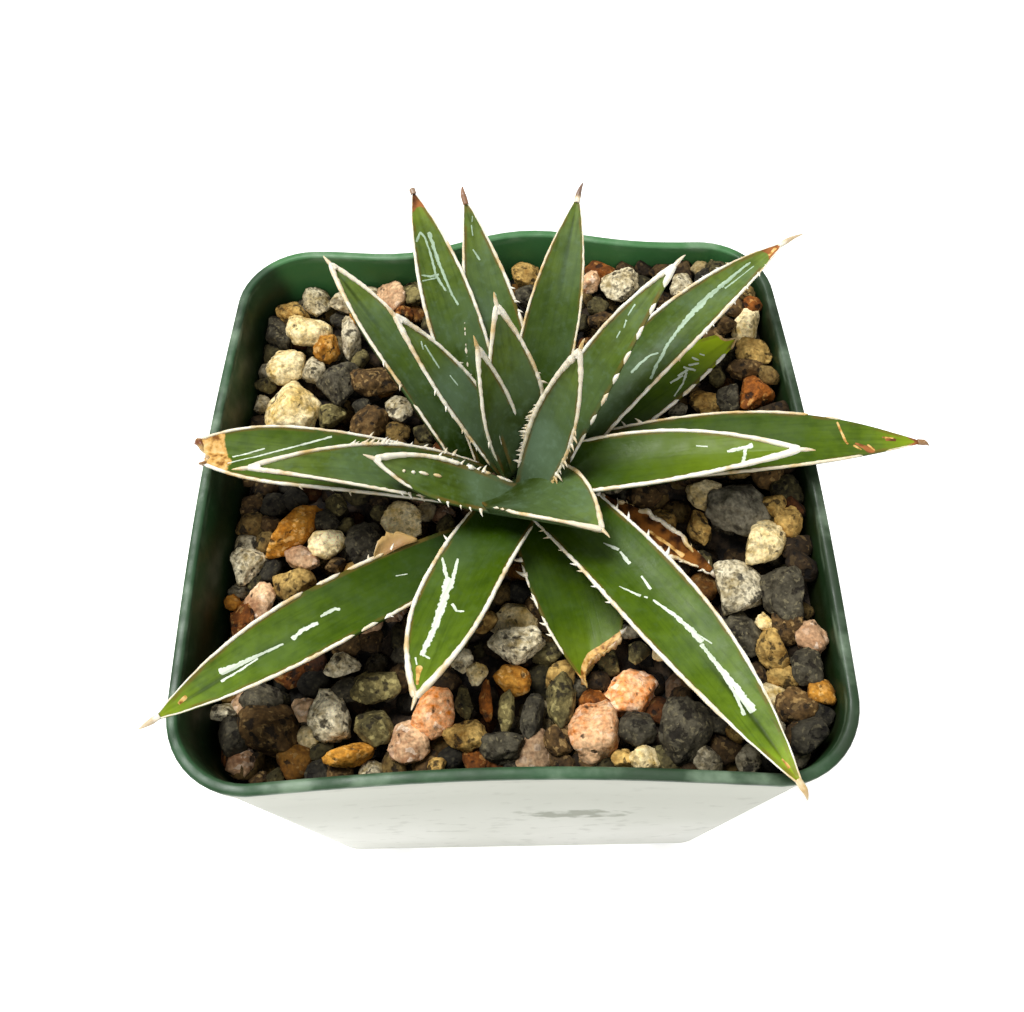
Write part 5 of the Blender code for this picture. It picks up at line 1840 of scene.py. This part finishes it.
# The stones that catch the eye: x, y, length, width and the long side's heading.
MARKED = {
    Mineral.BANDED: ((34, -5, 9, 8, 20),),
    Mineral.SLATE: (
        (-40, 33, 6.5, 4.5, 100), (-28, 22, 8.5, 7, 90), (4, 38, 5, 4, 90), (36, 14, 5, 3.5, 80),
        (39, -17, 8, 6.5, 80), (32, -23, 7, 5.5, 80), (40, -29, 5, 4.5, 40), (23, -36, 8.5, 6.5, 80),
        (17, -35, 5, 4.5, 0), (3, -33, 6, 3, 80), (-1, -38, 6.5, 4, 0), (-22, -7, 7, 5.5, 80),
        (-28, -3, 3.5, 3.5, 0), (-40, -35, 6, 5, 100), (-35, -30, 5.5, 4, 0),
    ),
    Mineral.GRANITE: (
        (-28, 41, 5.5, 5, 0), (-23, 41, 4.5, 3.5, 150), (-34, 41, 5.5, 4.5, 100), (-27, 31, 7.5, 3, 100),
        (-33, 25, 5.5, 4, 100), (-17, 16, 5, 4.5, 90), (20, 39, 6, 6, 90), (30, 37, 4.5, 4, 80), (33, -17, 8, 8, 80),
        (1, -23, 7, 6, 160), (-40, -9, 6, 5, 70), (-25, -32, 7, 5.5, 120), (-7, -25, 3.5, 3.5, 90),
        (-40, -31, 3.5, 2.5, 0), (-24, -25, 5, 3.5, 0),
    ),
    Mineral.CREAM: (
        (-34, 33, 7.5, 7, 130), (-37, 26, 6.5, 6.5, 100), (-36, 18, 9, 8.5, 100), (40, 28, 7, 4, 70),
        (30, -2, 5.5, 4.5, 0), (38, -10, 7.5, 5.5, 40), (35, -22, 2.5, 2.5, 0), (1, -18, 7.5, 7, 150),
        (18, -39, 4, 3, 0), (21, -25, 3, 3, 0), (-28, -6, 5.5, 4.5, 20), (-16, -4, 7, 5, 140), (-5, -27, 3, 3, 0),
    ),
    Mineral.TAN: (
        (-38, 38, 5.5, 5.5, 100), (4, 41, 6, 5, 90), (40, 23, 5.5, 4.5, 170), (32, 15, 5.5, 4.5, 0),
        (23, -5, 6.5, 6, 140), (28, -7, 5.5, 3.5, 80), (40, -4, 4, 3.5, 80), (40, -9, 5, 4, 80),
        (36, -26, 6, 4, 100), (15, -39, 3, 2.5, 0), (-32, -12, 6, 5, 160), (-6, -36, 6, 4, 160),
        (-10, -39, 3, 2.5, 0),
    ),
    Mineral.AMBER: (
        (-23, 41, 5.5, 4.5, 90), (-30, 30, 5, 4.5, 100), (0, -28, 5.5, 4, 160), (-33, -4, 10, 5, 50),
        (-41, -15, 2.5, 2.5, 0), (-22, -39, 7, 3, 10),
    ),
    Mineral.SALMON: (
        (10, -36, 7.5, 6.5, 80), (16, -30, 8, 6.5, 0), (-11, -32, 6.5, 5.5, 60),
    ),
    Mineral.ROSE: (
        (-19, 40, 6.5, 5.5, 90), (15, 40, 4.5, 3, 70), (41, -25, 5, 4, 90), (-31, -9, 6, 3.5, 150),
        (-38, -16, 5, 4.5, 120), (-14, -37, 5.5, 5.5, 90), (-29, -31, 3.5, 3, 0),
    ),
    Mineral.RUST: (
        (-18, 36, 3.5, 3.5, 0), (39, 14, 6.5, 5, 40), (11, -31, 4, 3, 0), (-16, -8, 6, 3, 170),
        (-39, -18, 7.5, 3.5, 100), (-4, -31, 5.5, 2, 90),
    ),
    Mineral.BROWN: (
        (-22, 22, 8, 6.5, 150), (-22, 14, 6.5, 6, 70), (38, 28, 4, 3, 80), (39, 19, 6, 3.5, 0), (40, -1, 5, 4.5, 0),
        (38, -22, 5, 4.5, 80), (38, -34, 5, 4.5, 0), (39, -38, 5, 4.5, 0), (5, -37, 4, 4, 0), (-26, -10, 3, 3, 0),
        (-33, -34, 9, 6.5, 160),
    ),
    Mineral.OLIVE: (
        (-18, 41, 5.5, 5, 0), (-29, 16, 4.5, 4.5, 0), (34, 19, 4, 2.5, 80), (7, -32, 7.5, 4, 80),
        (-1, -32, 5.5, 2, 90), (-19, -28, 7, 4.5, 0), (-19, -34, 5, 5, 20), (-6, -31, 4.5, 2.5, 90),
    ),
}
# How common each kind is among the stones that fill the rest.
FILL = {Mineral.SLATE: 4, Mineral.BROWN: 7, Mineral.OLIVE: 5, Mineral.GRANITE: 3, Mineral.TAN: 4, Mineral.ROSE: 1,
        Mineral.CREAM: 1, Mineral.RUST: 2, Mineral.AMBER: 1}


@dataclass
class Gravel:
    """The gravel: stones settled on each other, over a bed of dark grit that fills the pot."""

    seed: int = 11
    fill_pitch: float = 3.6  # spacing of the stones that fill between the marked ones
    fill_radius: tuple = (1.1, 2.5)
    deep_pitch: float = 4.6  # spacing of the layer below
    bed_depth: float = 4.2  # the grit lies this far below the gravel's level
    settle_steps: int = 90
    flatness: tuple = (0.75, 0.95)  # a marked stone's height, as a share of 0.84 of its mean width
    jitter: float = 0.4  # how far a stone strays from its row, as a share of the spacing
    marked_give: float = 0.15  # how far the marked stones give way, where the others do so fully
    clear: float = 0.25  # between a stone and the wall
    corner_clear: float = 0.3  # the same in the corners, and round the bed
    swell: float = 1.12  # the stones are drawn a little larger than they settle
    bank: tuple = (26.0, 16.0)  # where the bank starts along X, and its run
    shapes: tuple = ((24, 4), (16, 3), (8, 2))  # how many shapes, and how fine: marked, filling and deep stones

    def build(self) -> None:
        """Makes the bed and the stones."""
        self.bed()
        self.stones()
        stem = frame["nodes"]["stem"]
        stem.data.materials.clear()
        stem.data.materials.append(FibrousStem().make())

    def level(self, x: float | np.ndarray, y: float | np.ndarray) -> float | np.ndarray:
        """The gravel's level, which slopes and is heaped round the stem.

        Args:
            x: a place, or many.
            y: the same along Y.

        Returns:
            The height at each place.
        """
        heap = MOUND_HEIGHT * np.exp(-(x * x + y * y) / MOUND_RADIUS**2)
        bank = BANK_RIGHT * np.clip((x - self.bank[0]) / self.bank[1], 0.0, 1.0) ** 2
        return GRAVEL_LEVEL + GRAVEL_SLOPE[0] * x + GRAVEL_SLOPE[1] * y + heap + bank

    def bed(self) -> Object:
        """Makes the closed bed of grit below the stones.

        Returns:
            The bed.
        """
        inset = WALL + self.corner_clear
        rings = [pot_ring(FLOOR_TOP + 0.3, inset), pot_ring(WAIST, inset)]
        edge = pot_ring(GRAVEL_LEVEL, inset)
        for share in np.linspace(1.0, 0.04, 22):
            ring = edge * (share, share, 1.0)
            for point in ring:
                lumps = noise.fractal(Vector(point) / 3.0, 0.6, 2.0, 3)
                point[2] = self.level(point[0], point[1]) - self.bed_depth + 0.8 * lumps
            rings.append(ring)
        faces = grid_faces(len(rings), len(edge))
        return place(mesh_object("gravel_bed", np.concatenate(rings), faces, [DarkGrit().make()]), "gravel", "gravel")

    def scattered(self) -> tuple:
        """Chooses the stones.

        Returns:
            Centres, half sizes, headings, kinds, and each stone's layer: 0 marked, 1 filling, 2 deep.
        """
        rng = random.Random(self.seed)
        centres, halves, headings, kinds = [], [], [], []
        for kind, spots in MARKED.items():
            for x, y, length, width, heading in spots:
                high = 0.42 * (length + width) * rng.uniform(*self.flatness)
                centres.append((x, y, self.level(x, y) + 0.5))
                halves.append((length / 2, width / 2, high / 2))
                headings.append(math.radians(heading))
                kinds.append(kind)
        marked = len(centres)
        pool = [kind for kind, share in FILL.items() for _ in range(share)]
        reach = RIM_HALF - WALL - 1.0
        layers = [0] * marked
        # Each layer: its number, the stones' spacing, their height from the gravel's level and their scale.
        for layer, pitch, low, scale in ((1, self.fill_pitch, -0.6, 1.0), (2, self.deep_pitch, -4.0, 1.15)):
            count = int(2 * reach / pitch)
            for row in range(count + 1):
                for column in range(count + 1):
                    x = reach * (2 * column / count - 1) + rng.uniform(-self.jitter, self.jitter) * pitch
                    y = reach * (2 * row / count - 1) + rng.uniform(-self.jitter, self.jitter) * pitch
                    radius = rng.triangular(*self.fill_radius) * scale
                    near = [
                        np.hypot(c[0] - x, c[1] - y) < 0.8 * h[0] + 0.55 * radius
                        for c, h in zip(centres[:marked], halves)
                    ]
                    if scale == 1.0 and any(near):
                        continue
                    centres.append((x, y, self.level(x, y) + low))
                    halves.append((radius * rng.uniform(1.0, 1.3), radius, radius * rng.uniform(0.65, 0.9)))
                    headings.append(rng.uniform(0, math.pi))
                    kinds.append(rng.choice(pool))
                    layers.append(layer)
        return np.array(centres), np.array(halves), np.array(headings), kinds, layers

    def settle(self, centres: np.ndarray, halves: np.ndarray, marked: int) -> np.ndarray:
        """Pushes stones that overlap apart and keeps them in the pot and under the leaves.

        Args:
            centres: the stones' centres.
            halves: half their length, width and height.
            marked: how many of them, from the first, hardly move sideways.

        Returns:
            The settled centres.
        """
        radius = halves.mean(axis=1) * 0.93
        home = centres.copy()
        weight = np.ones(len(centres))
        weight[:marked] = self.marked_give
        ceiling = self.ceilings(centres, halves)
        for _ in range(self.settle_steps):
            gap = centres[:, None, :] - centres[None, :, :]
            distance = np.sqrt((gap**2).sum(axis=2)) + 1e-6
            lap = radius[:, None] + radius[None, :] - distance
            np.fill_diagonal(lap, 0.0)
            push = (np.clip(lap, 0.0, None) / distance)[:, :, None] * gap * 0.25
            push[:, :, 2] *= 0.8
            centres = centres + push.sum(axis=1) * weight[:, None]
            centres[:, 2] += 0.08 * (home[:, 2] - centres[:, 2])
            share = centres[:, 2] / POT_HEIGHT
            room = wall_half(centres[:, 2]) - WALL - self.clear - halves[:, :2].max(axis=1) * 0.9
            x, y = centres[:, 0] / RIM_HALF, centres[:, 1] / RIM_HALF
            low = -room - share**2 * side_bow(2, -y), -room - share**2 * side_bow(3, x)
            high = room + share**2 * side_bow(0, y), room + share**2 * side_bow(1, -x)
            centres[:, 0] = np.clip(centres[:, 0], low[0], high[0])
            centres[:, 1] = np.clip(centres[:, 1], low[1], high[1])
            centres[:, 2] = np.minimum(centres[:, 2], ceiling)
        return self.round_corners(centres, radius)

    def round_corners(self, centres: np.ndarray, radius: np.ndarray) -> np.ndarray:
        """Moves stones that stand in the pot's rounded corners back inside them.

        Args:
            centres: the stones' centres.
            radius: their mean radii.

        Returns:
            The centres.
        """
        for i, (x, y, z) in enumerate(centres):
            corner = wall_corner(z)
            inner = wall_half(z) - WALL - self.corner_clear - corner
            dx, dy = abs(x) - inner, abs(y) - inner
            room = corner - radius[i]
            if dx > 0 and dy > 0 and math.hypot(dx, dy) > room:
                shrink = room / math.hypot(dx, dy)
                centres[i, 0] = math.copysign(inner + dx * shrink, x)
                centres[i, 1] = math.copysign(inner + dy * shrink, y)
        return centres

    def ceilings(self, centres: np.ndarray, halves: np.ndarray) -> np.ndarray:
        """The greatest height of each stone's centre under the leaves, and below the rim.

        Args:
            centres: the stones' centres.
            halves: half their sizes.

        Returns:
            The limit for each stone.
        """
        limit = np.full(len(centres), POT_HEIGHT - 1.0) - halves[:, 2]
        for leaf in (*LEAVES, WITHERED):
            path = leaf.path()
            for i in range(0, len(path), 4):
                t = i / PATH_STEPS
                if t > leaf.kept:
                    continue
                point = path[i][0]
                near = np.hypot(centres[:, 0] - point.x, centres[:, 1] - point.y)
                near = near < halves[:, 1] + leaf.half_width(t)
                room = point.z + leaf.under(t, 0.0) - 0.2 - halves[:, 2]
                limit = np.where(near, np.minimum(limit, room), limit)
        return limit

    def pebble(self, index: int, fine: int) -> Object:
        """One stone of radius 1, broken along flat faces, worn at their edges, and pitted.

        Args:
            index: the stone's number.
            fine: how often its faces are divided.

        Returns:
            The stone's object.
        """
        rng = random.Random(self.seed * 100 + index)
        bm = bmesh.new()
        bmesh.ops.create_icosphere(bm, subdivisions=fine, radius=1.0)
        cuts = []
        for _ in range(rng.randint(7, 11)):
            way = Vector((rng.gauss(0, 1), rng.gauss(0, 1), rng.gauss(0, 1))).normalized()
            cuts.append((way, rng.uniform(0.6, 0.86)))
        for vert in bm.verts:
            point = vert.co * (1 + 0.2 * noise.noise(vert.co * 1.3 + Vector((index * 5.1, 0, 0))))
            for way, depth in cuts:
                over = point.dot(way) - depth
                if over > 0:
                    point -= way * over * 0.9
            rough = noise.fractal(point * 2.6 + Vector((0, index * 3.3, 0)), 0.7, 2.1, 4)
            vert.co = point * (1 + 0.095 * rough)
        mesh = bpy.data.meshes.new(f"pebble_{index:02d}")
        bm.to_mesh(mesh)
        bm.free()
        mesh.polygons.foreach_set("use_smooth", [True] * len(mesh.polygons))
        return bpy.data.objects.new(f"pebble_{index:02d}", mesh)

    def scatter_tree(self) -> Tree:
        """The tree that puts a stone on each point: its shape, turn, size and tone are the point's own numbers.

        Returns:
            The tree.
        """
        made = Tree("stone_scatter")
        made.input("Shapes", "Collection")
        made.input("Stone", "Material")
        node = partial(add_node, made.tree)
        shapes = node(GN + "CollectionInfo", made.given("Shapes"), True, True)
        pick = node(Kind.STORED, "shape", data_type="INT")
        turn = node(Kind.STORED_VECTOR, "turn")
        turn = node("FunctionNodeEulerToRotation", turn)
        size = node(Kind.STORED_VECTOR, "size")
        inputs = {"Points": made.given("Geometry"), "Instance": shapes, "Pick Instance": True, "Instance Index": pick}
        inputs.update({"Rotation": turn, "Scale": size})
        stones = node(GN + "RealizeInstances", node(GN + "InstanceOnPoints", inputs=inputs))
        stones = node(GN + "SetMaterial", inputs={0: stones, "Material": made.given("Stone")})
        node("NodeGroupOutput", stones)
        return made

    def stones(self) -> None:
        """Makes one piece for each kind of stone."""
        centres, halves, headings, kinds, layers = self.scattered()
        centres = self.settle(centres, halves, layers.count(0))
        shelf = bpy.data.collections.new("pebbles")
        for count, fine in self.shapes:
            for _ in range(count):
                shelf.objects.link(self.pebble(len(shelf.objects), fine))
        tree = self.scatter_tree()
        rng = random.Random(self.seed)
        first = (0, self.shapes[0][0], self.shapes[0][0] + self.shapes[1][0])
        shapes = [first[layer] + i % self.shapes[layer][0] for i, layer in enumerate(layers)]
        turns = np.array([(rng.gauss(0, 0.22), rng.gauss(0, 0.22), heading) for heading in headings])
        # Tones differ at random, and the filling and deep layers are also drawn darker as painted shade in the gaps.
        tones = np.array([(rng.uniform(0.55, 1.0), rng.uniform(0.05, 0.68), rng.uniform(0.0, 0.15))[k] for k in layers])
        for kind in Mineral:
            chosen = [i for i, k in enumerate(kinds) if k is kind]
            mesh = bpy.data.meshes.new("points")
            mesh.from_pydata([Vector(centres[i]) * MM for i in chosen], [], [])
            set_numbers(mesh, "turn", turns[chosen])
            set_numbers(mesh, "size", halves[chosen] * MM * self.swell)
            mesh.attributes.new("shape", "INT", "POINT").data.foreach_set("value", [shapes[i] for i in chosen])
            set_numbers(mesh, "tone", tones[chosen])
            points, name = new_object("points", mesh), "stones_" + kind.value.name
            place(tree.run(points, name, Shapes=shelf, Stone=kind.value.make()), "gravel", "gravel")
        for pebble in list(shelf.objects):
            bpy.data.objects.remove(pebble, do_unlink=True)
        bpy.data.collections.remove(shelf)


# ---------------------------------------------------------------- studio
@dataclass
class Studio:
    """A pale table, a soft light from above, a low fill and the camera."""

    eye: tuple = (1.73, -72.63, 210.82)  # millimetres
    yaw: float = -1.13
    pitch: float = 55.35  # below the horizontal
    roll: float = -2.3
    lens: float = 35.2
    sensor: float = 36.0
    shift: tuple = (0.00604, -0.12306)
    table: float = 3000.0  # half the table's side, in millimetres
    table_drop: float = 0.05  # how far the table is below the feet

    def build(self) -> None:
        """Makes the floor, the lights, the world and the camera."""
        scene = bpy.context.scene
        scene.view_settings.view_transform = "Standard"
        self.floor()
        self.light("softbox", (-0.75, 0.55, 2.0), (0.9, 0.9), 58.0)
        self.light("front_fill", (0.3, -1.4, 1.5), (1.2, 0.8), 10.0)
        self.world(0.3)
        self.camera()

    def floor(self) -> None:
        """Makes the table top, which isn't part of the object."""
        turns = ((-1, -1), (1, -1), (1, 1), (-1, 1))
        corners = [(x * self.table, y * self.table, -self.table_drop) for x, y in turns]
        top = mesh_object("table_top", corners, [[0, 1, 2, 3]], [PaleFloor().make()])
        if top.data.polygons[0].normal.z < 0:
            top.data.flip_normals()

    def light(self, name: str, spot: tuple, size: tuple, power: float) -> None:
        """Adds an area light that faces the plant.

        Args:
            name: its name.
            spot: its place, in metres.
            size: its two sides, in metres.
            power: its power, in watts.
        """
        lamp = bpy.data.lights.new(name, "AREA")
        lamp.shape = "RECTANGLE"
        lamp.size, lamp.size_y = size
        lamp.energy = power
        obj = new_object(name, lamp)
        obj.location = spot
        aim = Vector((0.0, 0.0, 0.08)) - Vector(spot)
        obj.rotation_euler = aim.to_track_quat("-Z", "Y").to_euler()

    def world(self, strength: float) -> None:
        """Sets an even white surround.

        Args:
            strength: its strength.
        """
        world = bpy.data.worlds.new("surround")
        world.use_nodes = True
        back = world.node_tree.nodes["Background"]
        back.inputs["Color"].default_value = (1.0, 1.0, 1.0, 1.0)
        back.inputs["Strength"].default_value = strength
        bpy.context.scene.world = world

    def camera(self) -> None:
        """Adds the camera, above the front of the pot and looking down on it."""
        yaw, pitch, roll = (math.radians(a) for a in (self.yaw, self.pitch, self.roll))
        ahead = Vector((math.sin(yaw) * math.cos(pitch), math.cos(yaw) * math.cos(pitch), -math.sin(pitch)))
        level = Vector((math.cos(yaw), -math.sin(yaw), 0.0))
        above = level.cross(ahead)
        right = level * math.cos(roll) + above * math.sin(roll)
        top = above * math.cos(roll) - level * math.sin(roll)
        turn = Matrix((right, top, -ahead)).transposed().to_4x4()
        lens = bpy.data.cameras.new("camera")
        lens.sensor_width = self.sensor
        lens.lens = self.lens
        lens.shift_x, lens.shift_y = self.shift
        lens.clip_start = 0.005
        obj = new_object("camera", lens)
        obj.matrix_world = Matrix.Translation(Vector(self.eye) * MM) @ turn
        bpy.context.scene.camera = obj


def main() -> None:
    """Builds the pot, the gravel, the rosette and the studio in order."""
    logging.basicConfig(level=logging.INFO, format="%(name)s: %(message)s")
    Pot().build()
    Gravel().build()
    Rosette().build()
    Studio().build()


if __name__ == "__main__":
    main()
